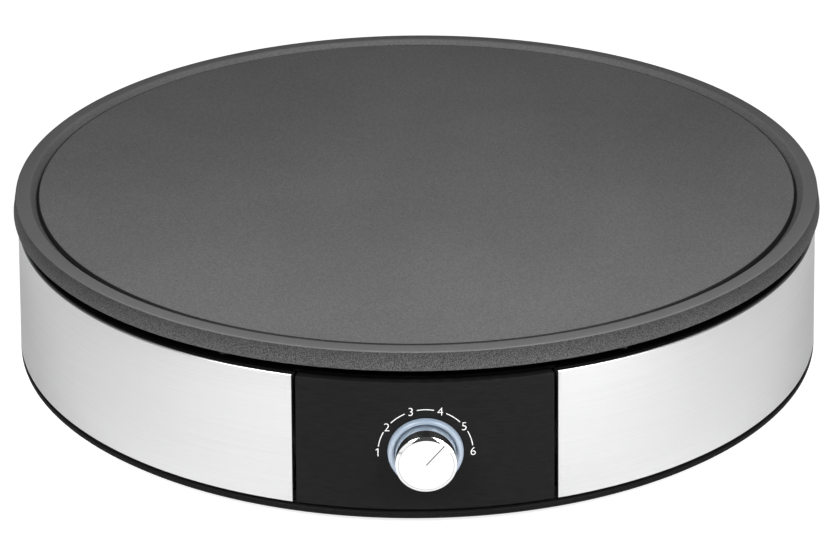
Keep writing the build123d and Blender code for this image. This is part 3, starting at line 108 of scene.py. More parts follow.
def editAll(piece):
    pickOnly(piece)
    bpy.ops.object.mode_set(mode="EDIT")
    bpy.ops.mesh.select_all(action="SELECT")


def makeOutward(piece):
    editAll(piece)
    bpy.ops.mesh.normals_make_consistent(inside=False)
    bpy.ops.object.mode_set(mode="OBJECT")


def settle(piece):
    # puts the piece's place into its mesh
    pickOnly(piece)
    bpy.ops.object.transform_apply(location=True, rotation=True, scale=True)


def dropPiece(piece):
    deselectAll()
    piece.select_set(True)
    bpy.ops.object.delete()


def selectFaces(piece, wanted):
    # picks the faces whose middle passes the test, and stays in edit mode
    bpy.ops.object.mode_set(mode="OBJECT")
    for part in (piece.data.vertices, piece.data.edges, piece.data.polygons):
        part.foreach_set("select", [False] * len(part))
    for face in piece.data.polygons:
        face.select = wanted(face.center / mm)
    bpy.ops.object.mode_set(mode="EDIT")


def selectEdges(piece, wanted):
    # picks the edges whose two ends pass the test, and stays in edit mode
    editAll(piece)
    bpy.ops.mesh.select_all(action="DESELECT")
    bpy.ops.object.mode_set(mode="OBJECT")
    for edge in piece.data.edges:
        edge.select = all(wanted(piece.data.vertices[index].co / mm) for index in edge.vertices)
    bpy.ops.object.mode_set(mode="EDIT")


def selectOpenEdges():
    bpy.ops.mesh.select_all(action="DESELECT")
    bpy.ops.mesh.select_non_manifold()


def turnRings(name, rings, segments, ends):
    # a ring of edges is extruded along the profile, whose two ends are then bridged, capped or left open
    deselectAll()
    startRadius, startHeight = rings[0]
    place = (0, 0, startHeight * mm)
    bpy.ops.mesh.primitive_circle_add(vertices=segments, radius=startRadius * mm, location=place)
    piece = bpy.context.object
    piece.name = name
    settle(piece)
    editAll(piece)
    for (radius, height), (nextRadius, nextHeight) in zip(rings, rings[1:]):
        bpy.ops.mesh.extrude_edges_move()
        grow = nextRadius / radius
        bpy.ops.transform.resize(value=(grow, grow, 1), center_override=(0, 0, 0))
        bpy.ops.transform.translate(value=(0, 0, (nextHeight - height) * mm))
    if ends == "bridged":
        selectOpenEdges()
        bpy.ops.mesh.bridge_edge_loops()
    elif ends == "capped":
        selectOpenEdges()
        bpy.ops.mesh.fill_holes(sides=0)
    makeOutward(piece)
    return piece


def roundCorner(centreRadius, centreHeight, radius, fromDegrees, toDegrees, steps=6):
    # points round a corner of a profile
    points = []
    for step in range(steps + 1):
        turn = math.radians(fromDegrees + (toDegrees - fromDegrees) * step / steps)
        points.append((centreRadius + radius * math.cos(turn), centreHeight + radius * math.sin(turn)))
    return points


def fallingTurns(steps):
    # angles from straight up down to level, without the first
    return [math.radians(90 - 90 * step / steps) for step in range(1, steps + 1)]


def onCircle(circle, turn, height=0.0):
    return Vector((circle * math.cos(turn), circle * math.sin(turn), height)) * mm


def makeRod(sides, radius, length=30.0):
    # a plain rod for a hole, longer than any wall here
    deselectAll()
    bpy.ops.mesh.primitive_cylinder_add(vertices=sides, radius=radius * mm, depth=length * mm)
    return bpy.context.object


def makeBar(length, width, height, place, turn):
    # a plain bar, turned about Z, with its middle at a place in metres
    deselectAll()
    size = Vector((length, width, height)) * mm
    bpy.ops.mesh.primitive_cube_add(size=1, location=place, rotation=(0, 0, turn), scale=size)
    bar = bpy.context.object
    settle(bar)
    return bar


def applyAll(piece):
    pickOnly(piece)
    for modifier in list(piece.modifiers):
        bpy.ops.object.modifier_apply(modifier=modifier.name)


def cutWith(piece, cutter):
    # takes the cutter's shape out of the piece
    cut = piece.modifiers.new("cut", "BOOLEAN")
    cut.operation = "DIFFERENCE"
    cut.object = cutter
    cut.solver = "EXACT"
    applyAll(piece)
    dropPiece(cutter)


edgeBevel = {"segments": 3, "sharperThan": 50}


def thicken(piece, thickness, rounding):
    # gives a sheet its wall on the inner side and rounds the sharp edges
    makeOutward(piece)
    wall = piece.modifiers.new("wall", "SOLIDIFY")
    wall.thickness = thickness * mm
    wall.offset = -1.0
    edge = piece.modifiers.new("edges", "BEVEL")
    edge.width = rounding * mm
    edge.segments = edgeBevel["segments"]
    edge.limit_method = "ANGLE"
    edge.angle_limit = math.radians(edgeBevel["sharperThan"])
    applyAll(piece)


def joinPieces(pieces):
    pickOnly(pieces[0])
    for piece in pieces:
        piece.select_set(True)
    bpy.ops.object.join()
    return pieces[0]


def setRound(master, name, circle, turns, height, spin=0.0):
    # copies the piece to places on a circle and joins the copies in its stead
    copies = []
    for turn in turns:
        twin = master.copy()
        twin.data = master.data.copy()
        bpy.context.collection.objects.link(twin)
        twin.rotation_euler = (0, 0, turn * spin)
        twin.location = onCircle(circle, turn, height)
        settle(twin)
        copies.append(twin)
    dropPiece(master)
    row = joinPieces(copies)
    row.name = name
    return row


def smooth(piece, degrees):
    pickOnly(piece)
    bpy.ops.object.shade_smooth_by_angle(angle=math.radians(degrees))


def toDial(piece):
    # a piece turned about Z is laid along the knob's axis, facing the user
    piece.rotation_euler = (math.radians(90), 0, 0)
    piece.location = (0, -wallFront * mm, knobHeight * mm)
    settle(piece)


def angleOf(point):
    # degrees round from the middle of the control panel, positive to the right
    return math.degrees(math.atan2(point[0], -point[1]))


# material helpers
noiseLow, noiseHigh = 0.3, 0.7  # most of a noise lies between these


def grey(level):
    return (level,) * 3


def addNode(tree, kind, settings=None, values=None):
    made = tree.nodes.new("ShaderNode" + kind)
    for name, value in (settings or {}).items():
        setattr(made, name, value)
    for name, value in (values or {}).items():
        made.inputs[name].default_value = value
    return made


def startMaterial(name, values):
    material = bpy.data.materials.new(name)
    material.use_nodes = True
    tree = material.node_tree
    shader = tree.nodes["Principled BSDF"]
    for socket, value in values.items():
        shader.inputs[socket].default_value = value
    place = addNode(tree, "TexCoord")
    return material, tree, shader, place.outputs["Object"]


def noise(tree, place, scale, detail, roughness=0.55, stretch=(1, 1, 1)):
    # noise with its size given in cells to the metre, drawn out by stretch
    mapping = addNode(tree, "Mapping", values={"Scale": stretch})
    tree.links.new(place, mapping.inputs["Vector"])
    grain = addNode(tree, "TexNoise", values={"Scale": scale, "Detail": detail, "Roughness": roughness})
    tree.links.new(mapping.outputs["Vector"], grain.inputs["Vector"])
    return grain.outputs["Fac"]


def twoTone(tree, fac, dark, light, fromLow=noiseLow, fromHigh=noiseHigh):
    colours = addNode(tree, "ValToRGB")
    elements = colours.color_ramp.elements
    for element, position, colour in zip(elements, (fromLow, fromHigh), (dark, light)):
        element.position = position
        element.color = (*colour, 1)
    tree.links.new(fac, colours.inputs["Fac"])
    return colours.outputs["Color"]


def span(tree, fac, fromLow, fromHigh, toLow, toHigh):
    values = {"From Min": fromLow, "From Max": fromHigh, "To Min": toLow, "To Max": toHigh}
    scale = addNode(tree, "MapRange", values=values)
    tree.links.new(fac, scale.inputs["Value"])
    return scale.outputs["Result"]


def roughen(tree, shader, fac, atLow, atHigh, fromLow=noiseLow, fromHigh=noiseHigh):
    tree.links.new(span(tree, fac, fromLow, fromHigh, atLow, atHigh), shader.inputs["Roughness"])


def bump(tree, shader, height, distance, strength):
    bumps = addNode(tree, "Bump", values={"Strength": strength, "Distance": distance})
    tree.links.new(height, bumps.inputs["Height"])
    tree.links.new(bumps.outputs["Normal"], shader.inputs["Normal"])


def twoValues(tree, operation, first, second):
    pair = addNode(tree, "Math", {"operation": operation})
    tree.links.new(first, pair.inputs[0])
    tree.links.new(second, pair.inputs[1])
    return pair.outputs[0]


def mix(tree, fac, first, second, blend="MIX"):
    blended = addNode(tree, "Mix", {"data_type": "RGBA", "blend_type": blend})
    if isinstance(fac, (int, float)):
        blended.inputs[0].default_value = fac
    else:
        tree.links.new(fac, blended.inputs[0])
    for socket, value in ((blended.inputs[6], first), (blended.inputs[7], second)):
        if isinstance(value, tuple):
            socket.default_value = (*value, 1)
        else:
            tree.links.new(value, socket)
    return blended.outputs[2]


def multiply(tree, first, second):
    return mix(tree, 1.0, first, second, "MULTIPLY")


def reach(tree, place):
    # distance from the object's own upright axis and height, in metres
    apart = addNode(tree, "SeparateXYZ")
    tree.links.new(place, apart.inputs["Vector"])
    flat = addNode(tree, "CombineXYZ")
    tree.links.new(apart.outputs["X"], flat.inputs["X"])
    tree.links.new(apart.outputs["Y"], flat.inputs["Y"])
    size = addNode(tree, "VectorMath", {"operation": "LENGTH"})
    tree.links.new(flat.outputs["Vector"], size.inputs[0])
    return size.outputs["Value"], apart.outputs["Z"]


# the two coatings of the plate, fine on top and coarser on the rim and skirt
coating = {"clouds": 9, "cloudDark": grey(0.9), "cloudLight": grey(1.06), "rougher": 0.06, "smoother": 0.05,
           "bump": 0.55}
topLook = {"dark": grey(0.085), "light": grey(0.15), "from": 0.33, "to": 0.68, "grain": 1400,
           "depth": 0.00022, "roughness": 0.6, "specular": 0.32, "groovePaintedShade": True}
# the skirt's foot and head values paint shade on it, darker towards its head
skirtLook = {"dark": grey(0.012), "light": grey(0.14), "from": 0.4, "to": 0.62, "grain": 2500,
             "depth": 0.0005, "roughness": 0.62, "specular": 0.28, "footPaintedShade": 1.0, "headPaintedShade": 0.5}
# painted shade: a near-black band of colour between these radii darkens the groove
paintedGrooveShade = {"inner": 186.5, "outer": 188.6, "fade": 0.5, "colour": grey(0.004)}
wornRim = {"from": rimTop - 0.55, "to": rimTop - 0.3, "share": 0.85, "colour": grey(0.128)}


def coatingMaterial(name, look):
    material, tree, shader, place = startMaterial(name, {"Specular IOR Level": look["specular"]})
    fine = noise(tree, place, look["grain"], detail=4)
    clouds = noise(tree, place, coating["clouds"], detail=3)
    shade = twoTone(tree, clouds, coating["cloudDark"], coating["cloudLight"])
    coated = multiply(tree, twoTone(tree, fine, look["dark"], look["light"], look["from"], look["to"]), shade)
    out, up = reach(tree, place)
    if "footPaintedShade" in look:
        # painted shade: the skirt's colour is darkened towards its head and left full at its foot, standing
        # in for light from below
        fall = span(tree, up, skirtFoot * mm, rimShoulder * mm, look["footPaintedShade"], look["headPaintedShade"])
        coated = multiply(tree, coated, fall)
    if look.get("groovePaintedShade"):
        # painted shade: a dark band by radius darkens the groove, where shade falls
        inner, outer, fade = paintedGrooveShade["inner"], paintedGrooveShade["outer"], paintedGrooveShade["fade"]
        coming = span(tree, out, inner * mm, (inner + fade) * mm, 0, 1)
        going = span(tree, out, (outer - fade) * mm, outer * mm, 1, 0)
        coated = mix(tree, twoValues(tree, "MULTIPLY", coming, going), coated, paintedGrooveShade["colour"])
    # the rim's crest is rubbed smooth
    crest = span(tree, up, wornRim["from"] * mm, wornRim["to"] * mm, 0, wornRim["share"])
    rubbed = multiply(tree, shade, wornRim["colour"])
    tree.links.new(mix(tree, crest, coated, rubbed), shader.inputs["Base Color"])
    roughen(tree, shader, fine, look["roughness"] + coating["rougher"],
            look["roughness"] - coating["smoother"])
    bump(tree, shader, fine, look["depth"], coating["bump"])
    return material


steelLook = {"dark": grey(0.655), "light": (0.715, 0.715, 0.72), "stretch": (0.35, 0.35, 60), "lines": 40,
             "broad": 14, "broadFrom": 0.35, "broadTo": 0.65, "broadShare": 0.16, "roughness": 0.34,
             "rougher": 0.07, "smoother": 0.05, "roughFrom": 0.25, "roughTo": 0.75, "depth": 0.00002,
             "bump": 0.22}


def brushedSteel(name, look):
    material, tree, shader, place = startMaterial(name, {"Metallic": 1.0})
    # brush lines run round the drum, so the pattern is read by height and only a little by place
    lines = noise(tree, place, look["lines"], detail=6, roughness=0.75, stretch=look["stretch"])
    broad = noise(tree, place, look["broad"], detail=2)
    share = span(tree, broad, look["broadFrom"], look["broadTo"], 0, look["broadShare"])
    tone = twoTone(tree, lines, look["dark"], look["light"])
    tree.links.new(mix(tree, share, tone, look["dark"]), shader.inputs["Base Color"])
    roughen(tree, shader, lines, look["roughness"] + look["rougher"], look["roughness"] - look["smoother"],
            look["roughFrom"], look["roughTo"])
    bump(tree, shader, lines, look["depth"], look["bump"])
    return material


plastic = {"clouds": 22, "cloudShare": 0.35, "spread": 0.06, "bump": 0.5}


def mouldedPlastic(name, look):
    material, tree, shader, place = startMaterial(name, {"Specular IOR Level": look["specular"]})
    texture = noise(tree, place, look["grain"], detail=4, roughness=0.6,
                    stretch=look.get("stretch", (1, 1, 1)))
    clouds = noise(tree, place, plastic["clouds"], detail=3)
    share = span(tree, clouds, noiseLow, noiseHigh, 0, plastic["cloudShare"])
    tone = twoTone(tree, texture, look["dark"], look["light"])
    tree.links.new(mix(tree, share, tone, look["dark"]), shader.inputs["Base Color"])
    roughen(tree, shader, texture, look["roughness"] + plastic["spread"],
            look["roughness"] - plastic["spread"])
    bump(tree, shader, texture, look["depth"], plastic["bump"])
    return material


chromeLook = {"dark": (0.80, 0.805, 0.81), "light": grey(0.87), "marks": 900, "haze": 60, "smoothest": 0.03,
              "roughest": 0.09, "roughestFrom": 0.8, "depth": 0.0000006, "bump": 0.12}


def polishedChrome(name, look):
    material, tree, shader, place = startMaterial(name, {"Metallic": 1.0})
    marks = noise(tree, place, look["marks"], detail=5, roughness=0.7, stretch=(1, 6, 1))
    haze = noise(tree, place, look["haze"], detail=3)
    tree.links.new(twoTone(tree, haze, look["dark"], look["light"]), shader.inputs["Base Color"])
    roughen(tree, shader, marks, look["smoothest"], look["roughest"], fromHigh=look["roughestFrom"])
    bump(tree, shader, marks, look["depth"], look["bump"])
    return material


# the head colour and its share paint shade on the ring's head; the paler sides and foot are a painted
# highlight
glowLook = {"deep": (0.33, 0.38, 0.44), "pale": (0.39, 0.44, 0.5), "head": (0.15, 0.19, 0.235),
            "paintedShadeShare": 0.95, "paintedShadeFrom": knobHeight - 2, "paintedShadeTo": knobHeight + 17, "glow": 0.085,
            "glowDeep": (0.42, 0.62, 0.95), "glowPale": (0.60, 0.76, 1.0), "clouds": 220, "grain": 3000,
            "smoothest": 0.26, "roughest": 0.38, "depth": 0.00001, "bump": 0.3}


def litDiffuser(name, look):
    material, tree, shader, place = startMaterial(name, {"Emission Strength": look["glow"]})
    cloud = noise(tree, place, look["clouds"], detail=3)
    grain = noise(tree, place, look["grain"], detail=3)
    tone = twoTone(tree, cloud, look["deep"], look["pale"])
    # painted light: the colour is darkened to a deeper blue towards the head as painted shade, and left paler
    # at the sides and foot as a painted highlight
    up = reach(tree, place)[1]
    depth = span(tree, up, look["paintedShadeFrom"] * mm, look["paintedShadeTo"] * mm, 0, look["paintedShadeShare"])
    tree.links.new(mix(tree, depth, tone, look["head"]), shader.inputs["Base Color"])
    tree.links.new(twoTone(tree, cloud, look["glowDeep"], look["glowPale"]), shader.inputs["Emission Color"])
    roughen(tree, shader, grain, look["smoothest"], look["roughest"])
    bump(tree, shader, grain, look["depth"], look["bump"])
    return material


metal = {"fine": 1500, "lightFrom": 0.72, "rougher": 0.08, "smoother": 0.05, "depth": 0.00003, "bump": 0.3}


def plainMetal(name, look):
    # sheet, plated or drawn metal of the inner parts
    material, tree, shader, place = startMaterial(name, {"Metallic": 1.0})
    patches = noise(tree, place, look.get("patches", 120), detail=4)
    fine = noise(tree, place, metal["fine"], detail=3)
    tone = twoTone(tree, patches, look["dark"], look["light"], fromHigh=metal["lightFrom"])
    tree.links.new(tone, shader.inputs["Base Color"])
    roughen(tree, shader, patches, look["roughness"] + metal["rougher"],
            look["roughness"] - metal["smoother"])
    bump(tree, shader, fine, metal["depth"], metal["bump"])
    return material


plasticLooks = {
    "panel": {"name": "panel black", "dark": (0.0055, 0.0055, 0.006), "light": (0.0105, 0.0105, 0.011),
              "grain": 700, "stretch": (0.25, 0.25, 2.2), "roughness": 0.45, "specular": 0.08,
              "depth": 0.00004},
    "base": {"name": "base black", "dark": grey(0.004), "light": grey(0.010), "grain": 1100,
             "roughness": 0.5, "specular": 0.05, "depth": 0.00008},
    "enamel": {"name": "black enamel", "dark": grey(0.001), "light": grey(0.003), "grain": 300,
               "roughness": 0.38, "specular": 0.03, "depth": 0.00002},
    "rubber": {"name": "black rubber", "dark": grey(0.008), "light": grey(0.024), "grain": 1600,
               "roughness": 0.7, "specular": 0.3, "depth": 0.0001},
    "ink": {"name": "white print", "dark": (0.72, 0.72, 0.71), "light": (0.8, 0.8, 0.79), "grain": 2500,
            "roughness": 0.5, "specular": 0.4, "depth": 0.00001},
    "pointerInk": {"name": "pointer paint", "dark": grey(0.01), "light": grey(0.02), "grain": 2500,
                   "roughness": 0.5, "specular": 0.1, "depth": 0.00001},
    "ceramic": {"name": "ceramic", "dark": (0.62, 0.58, 0.5), "light": (0.78, 0.75, 0.68), "grain": 900,
                "roughness": 0.4, "specular": 0.5, "depth": 0.00004},
    "phenolic": {"name": "phenolic", "dark": (0.03, 0.016, 0.01), "light": (0.07, 0.04, 0.025), "grain": 700,
                 "roughness": 0.4, "specular": 0.5, "depth": 0.00004},
    "board": {"name": "board green", "dark": (0.01, 0.09, 0.03), "light": (0.02, 0.16, 0.06), "grain": 1300,
              "roughness": 0.35, "specular": 0.5, "depth": 0.00003},
    "lampLens": {"name": "lamp lens", "dark": (0.7, 0.7, 0.62), "light": (0.85, 0.85, 0.78), "grain": 900,
                 "roughness": 0.25, "specular": 0.5, "depth": 0.00002},
}
metalLooks = {
    "zinc": {"name": "zinc plate", "dark": (0.42, 0.43, 0.44), "light": (0.62, 0.63, 0.64), "roughness": 0.3},
    "blackScrew": {"name": "blackened screw", "dark": grey(0.03), "light": grey(0.09), "roughness": 0.32},
    "sheath": {"name": "element sheath", "dark": (0.07, 0.06, 0.055), "light": (0.2, 0.18, 0.17),
               "roughness": 0.45, "patches": 60},
    "reflector": {"name": "reflector sheet", "dark": (0.6, 0.61, 0.62), "light": (0.8, 0.8, 0.81),
                  "roughness": 0.22, "patches": 30},
    "copper": {"name": "drawn copper", "dark": (0.42, 0.17, 0.08), "light": (0.75, 0.36, 0.2),
               "roughness": 0.28},
    "tinned": {"name": "tinned brass", "dark": (0.5, 0.46, 0.34), "light": (0.72, 0.68, 0.54),
               "roughness": 0.3},
}
leadColours = {
    "brown": (0.12, 0.045, 0.02),
    "blue": (0.02, 0.08, 0.35),
    "green": (0.16, 0.38, 0.03),
    "red": (0.4, 0.02, 0.015),
    "white": (0.7, 0.7, 0.67),
}
leadLook = {"paler": 1.35, "lift": 0.01, "grain": 1800, "roughness": 0.5, "specular": 0.4, "depth": 0.00005}

materials = {
    "plateTop": coatingMaterial("plate coating", topLook),
    "plateSkirt": coatingMaterial("rim and skirt coating", skirtLook),
    "steel": brushedSteel("brushed band steel", steelLook),
    "chrome": polishedChrome("knob chrome", chromeLook),
    "glow": litDiffuser("light ring glow", glowLook),
}
for key, look in plasticLooks.items():
    materials[key] = mouldedPlastic(look["name"], look)
for key, look in metalLooks.items():
    materials[key] = plainMetal(look["name"], look)
for key, colour in leadColours.items():
    light = tuple(min(1.0, value * leadLook["paler"] + leadLook["lift"]) for value in colour)
    materials[key + "Lead"] = mouldedPlastic(key + " lead", {**leadLook, "dark": colour, "light": light})
print("materials made")


def finishPiece(piece, body, looks, replaced=()):
    # gives the piece its materials and body, and hides the nodes that it stands for
    piece.data.materials.clear()
    for look in looks:
        piece.data.materials.append(materials[look])
    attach(piece, body)
    if replaced:
        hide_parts(*replaced)


# the inner parts are the frame's own nodes and only get materials
innerParts = {
    "zinc": ["element_clamps", "clamp_screws", "bulb_clips", "bulb_clip_screws", "cutout_bracket",
             "cutout_screws", "plate_spacers", "plate_screws", "panel_screws", "board_screws",
             "thermostat_collar", "thermostat_bracket", "thermostat_screws", "bracket_screws",
             "saddle_screws", "block_screws", "earth_screw", "earth_nut", "knob_spring", "spindle"],
    "sheath": ["heating_element"],
    "tinned": ["element_terminals", "pinch_screws", "earth_tag", "crimp_connectors"],
    "ceramic": ["terminal_beads", "thermal_cutout", "lead_grommet", "terminal_block"],
    "copper": ["sensing_bulb", "capillary_tube"],
    "reflector": ["reflector"],
    "phenolic": ["thermostat_body"],
    "board": ["lamp_board"],
    "lampLens": ["lamps"],
    "base": ["cord_saddle", "knob_core"],
    "brownLead": ["live_lead"],
    "redLead": ["switched_lead"],
    "whiteLead": ["heater_lead", "lamp_leads"],
    "blueLead": ["neutral_lead"],
    "greenLead": ["earth_lead"],
}
for look, nodes in innerParts.items():
    for node in nodes:
        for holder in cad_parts[node].material_slots:
            holder.material = materials[look]
print("inner parts finished")


# cooking plate
plate = {"surfaceHeight": rimTop - 1.7, "surfaceRadius": 187.4, "surfaceLoops": (24.0, 60.0, 120.0, 160.0),
         "edgeLoop": 1.2, "grooveRadius": 187.75, "grooveDepth": 1.9, "grooveSoft": 0.35, "grooveFlat": 0.5,
         "climbSteps": 11, "rimInner": 192.0, "rimOuter": 197.5, "skirtRound": 0.9, "skirtWall": 6.0,
         "splay": 2.0, "thickness": 5.0, "underLoops": (150.0, 24.0), "segments": 360, "smooth": 32}


def makePlate():
    size = plate
    top = size["surfaceHeight"]
    under = top - size["thickness"]
    grooveFoot = top - size["grooveDepth"]
    soft = size["grooveSoft"]
    rings = [(radius, top) for radius in (*size["surfaceLoops"], size["surfaceRadius"] - size["edgeLoop"])]
    rings += roundCorner(size["surfaceRadius"] - soft, top - soft, soft, 90, 35, 4)
    rings += roundCorner(size["grooveRadius"] + soft, grooveFoot + soft, soft, 215, 290, 5)
    # the groove's outer side climbs in a soft curve to the rim
    climbFrom = size["grooveRadius"] + size["grooveFlat"]
    for step in range(1, size["climbSteps"]):
        along = step / size["climbSteps"]
        climb = along * along * (3 - 2 * along)
        rings.append((climbFrom + (size["rimInner"] - climbFrom) * along,
                      grooveFoot + (rimTop - grooveFoot) * climb))
    rings += [(size["rimInner"], rimTop)]
    rings += roundCorner(size["rimOuter"], rimShoulder, outline["rimRound"], 90, 8, 7)
    edge = size["skirtRound"]
    rings += roundCorner(plateRadius - edge, skirtFoot + edge, edge, -5, -90, 5)
    inside = plateRadius - size["skirtWall"]
    rings += [(inside, skirtFoot), (inside - size["splay"], under)]
    rings += [(radius, under) for radius in size["underLoops"]]
    casting = turnRings("cooking_plate_casting", rings, size["segments"], "capped")
    smooth(casting, size["smooth"])
    return casting


cookingPlate = makePlate()
finishPiece(cookingPlate, "housing", ["plateTop", "plateSkirt"], ["cooking_plate"])
coarseFrom = plate["rimInner"] - 0.1  # the rim and all below it have the coarser coating
for face in cookingPlate.data.polygons:
    face.material_index = int(math.hypot(face.center.x, face.center.y) / mm > coarseFrom)
print("cooking plate made")


# steel band
band = {"gauge": 0.8, "bend": 0.9, "bendOut": 0.03, "flange": 10.0, "seamAngle": 17.4, "endFold": 5.5,
        "foldTop": 0.9, "edge": 0.45, "loops": 20.0, "segments": 540, "smooth": 35}


def cutSector(piece, degrees, keepInside):
    # cuts the ring on both sides of the panel and drops the part that isn't wanted
    editAll(piece)
    for side in (-1, 1):
        turn = math.radians(side * degrees)
        bpy.ops.mesh.select_all(action="SELECT")
        bpy.ops.mesh.bisect(plane_co=(0, 0, 0), plane_no=(math.cos(turn), math.sin(turn), 0))
    selectFaces(piece, lambda point: (abs(angleOf(point)) < degrees) != keepInside)
    bpy.ops.mesh.delete(type="FACE")
    bpy.ops.object.mode_set(mode="OBJECT")


def makeBand():
    size = band
    bend = size["bend"]
    heights = (bandBottom, bandBottom + size["loops"], bandTop - size["loops"])
    rings = [(wallRadius(height), height) for height in heights]
    rings += roundCorner(bandHead - bend + size["bendOut"], bandTop - bend, bend, 2, 90)
    rings += [(bandHead - size["flange"], bandTop)]
    sheet = turnRings("steel_band_sheet", rings, size["segments"], "open")
    cutSector(sheet, size["seamAngle"], keepInside=False)
    # fold the two ends in beside the panel, up to the bend
    foldTop = bandTop - bend * size["foldTop"]
    for seam in (-size["seamAngle"], size["seamAngle"]):
        selectEdges(sheet, lambda end: abs(angleOf(end) - seam) < seamNear and end.y < 0 and end.z < foldTop)
        bpy.ops.mesh.extrude_edges_move()
        bpy.ops.transform.translate(value=onCircle(size["endFold"], math.radians(seam + 90)))
    thicken(sheet, size["gauge"], size["edge"])
    return sheet


steelBand = makeBand()
smooth(steelBand, band["smooth"])
finishPiece(steelBand, "housing", ["steel"], ["steel_band"])
print("steel band made")


# control panel
panel = {"proud": 0.05, "halfAngle": 16.84, "footGap": -0.2, "headGap": 0.55, "depth": 9.0, "wall": 2.5,
         "edge": 0.6, "footRound": 0.8, "headRound": 0.35, "steps": 8, "holeRadius": 17.0, "holeSides": 128,
         "segments": 720, "smooth": 30}


def makePanel():
    size = panel
    foot = bandBottom + size["footGap"]
    head = bandTop - size["headGap"]
    back = wallFront - size["depth"]
    footRound, headRound = size["footRound"], size["headRound"]
    outerFoot = wallRadius(foot) + size["proud"]
    outerHead = wallRadius(head) + size["proud"]
    rings = [(back, foot), (outerFoot - footRound, foot)]
    rings += roundCorner(outerFoot - footRound, foot + footRound, footRound, -70, 0, 4)
    for step in range(1, size["steps"]):
        height = foot + footRound + (head - foot - footRound - headRound) * step / size["steps"]
        rings.append((wallRadius(height) + size["proud"], height))
    rings += roundCorner(outerHead - headRound, head - headRound, headRound, 0, 90, 4)
    rings += [(back, head)]
    cover = turnRings("panel_cover", rings, size["segments"], "open")
    cutSector(cover, size["halfAngle"], keepInside=True)
    # close each end with a side wall
    for side in (-size["halfAngle"], size["halfAngle"]):
        selectEdges(cover, lambda end: abs(angleOf(end) - side) < seamNear)
        bpy.ops.mesh.edge_face_add()
    thicken(cover, size["wall"], size["edge"])
    hole = makeRod(size["holeSides"], size["holeRadius"])
    toDial(hole)
    cutWith(cover, hole)
    return cover


panelCover = makePanel()
smooth(panelCover, panel["smooth"])
finishPiece(panelCover, "housing", ["panel"], ["front_panel"])
print("panel made")


# light ring round the knob
ring = {"radius": panel["holeRadius"] - 0.1, "bore": knobRadius + 0.35, "rise": 2.2, "bevel": 1.2,
        "bevelDrop": 1.5, "crestWidth": 0.35, "crestDrop": 0.12, "crestFlat": 0.1, "fallSteps": 8,
        "flangeRadius": 20.5, "flange": 1.5, "seat": 6.5, "segments": 160, "smooth": 35}


def makeLightRing():
    size = ring
    rise, seat = size["rise"], -size["seat"]
    back = seat - size["flange"]
    crest = size["bore"] + size["bevel"]
    rings = [(size["bore"], back), (size["bore"], rise - size["bevelDrop"])]
    rings += [(crest - size["crestWidth"], rise - size["crestDrop"]), (crest - size["crestFlat"], rise)]
    # a long soft fall from the crest to the panel
    for turn in fallingTurns(size["fallSteps"]):
        rings.append((crest + (size["radius"] - crest) * math.cos(turn), rise * math.sin(turn)))
    rings += [(size["radius"], seat), (size["flangeRadius"], seat), (size["flangeRadius"], back)]
    glow = turnRings("light_ring_diffuser", rings, size["segments"], "bridged")
    toDial(glow)
    return glow


lightRing = makeLightRing()
smooth(lightRing, ring["smooth"])
finishPiece(lightRing, "housing", ["glow"], ["light_ring"])
print("light ring made")


# knob
knob = {"skirt": 2.0, "wall": 1.2, "chamferWidth": 1.4, "chamferDepth": 0.9, "footSoft": 0.3,
        "faceLoops": (0.4, 4.0, 8.0), "insideAcross": 0.8, "insideUp": 0.4, "segments": 192, "smooth": 22,
        # the chamfer's two edges are rounded by points across and up, as shares of soft
        "soft": 0.16, "faceEdge": ((-1.5, 0), (-0.5, -0.12), (0.3, -0.5)),
        "sideEdge": ((-0.9, 0.35), (-0.25, -0.2), (0, -1.2)),
        "pointerAngle": 49.5, "pointerWidth": 0.42, "pointerDepth": 0.2, "pointerPast": 0.1,
        "paintBelow": 0.05, "paintTop": 0.02}


def makeKnob():
    size = knob
    top = outline["knobReach"]
    foot = -size["skirt"]
    face = knobRadius - size["chamferWidth"]
    shoulder = top - size["chamferDepth"]
    inside = knobRadius - size["wall"]
    under = top - size["wall"]
    soft, footSoft = size["soft"], size["footSoft"]
    rings = [(radius, top) for radius in size["faceLoops"]]
    rings += [(face + soft * across, top + soft * up) for across, up in size["faceEdge"]]
    rings += [(knobRadius + soft * across, shoulder + soft * up) for across, up in size["sideEdge"]]
    rings += [(knobRadius, foot + footSoft), (knobRadius - footSoft, foot), (inside, foot)]
    rings += [(inside, shoulder - size["wall"] + size["insideUp"]), (inside - size["insideAcross"], under)]
    rings += [(size["faceLoops"][0], under)]
    cap = turnRings("knob_shell", rings, size["segments"], "capped")
    # the pointer is a groove from the middle to just past the face
    length = face + size["pointerPast"]
    turn = math.radians(size["pointerAngle"])
    place = onCircle(length / 2, turn, top)
    cutWith(cap, makeBar(length, size["pointerWidth"], 2 * size["pointerDepth"], place, turn))
    paintFoot = top - size["pointerDepth"] - size["paintBelow"]
    for side in cap.data.polygons:
        inGroove = paintFoot < side.center.z / mm < top - size["paintTop"]
        side.material_index = int(inGroove and math.hypot(side.center.x, side.center.y) / mm < length)
    toDial(cap)
    return cap


knobShell = makeKnob()
inked = [face.material_index for face in knobShell.data.polygons]
smooth(knobShell, knob["smooth"])
finishPiece(knobShell, "knob", ["chrome", "pointerInk"], ["knob_cap"])
knobShell.data.polygons.foreach_set("material_index", inked)
print("knob made")


# dial print
dial = {"radius": 21.15, "step": 36.0, "first": 180.0, "digits": "123456", "height": 3.8,
        "heightInFont": 0.72, "thinner": 0.07, "line": 0.37, "gap": 7.7, "flag": 1.1, "flagTurn": 38,
        "flagDrop": 0.45, "arcSteps": 10, "lift": 0.03, "thickness": 0.05}


def layOnPanel(piece):
    # the flat print takes up the panel's curve
    for vertex in piece.data.vertices:
        across, up, lift = vertex.co / mm
        height = knobHeight + up
        radius = wallRadius(height) + panel["proud"] + dial["lift"] + lift
        vertex.co = Vector((across, -math.sqrt(radius ** 2 - across ** 2), height)) * mm


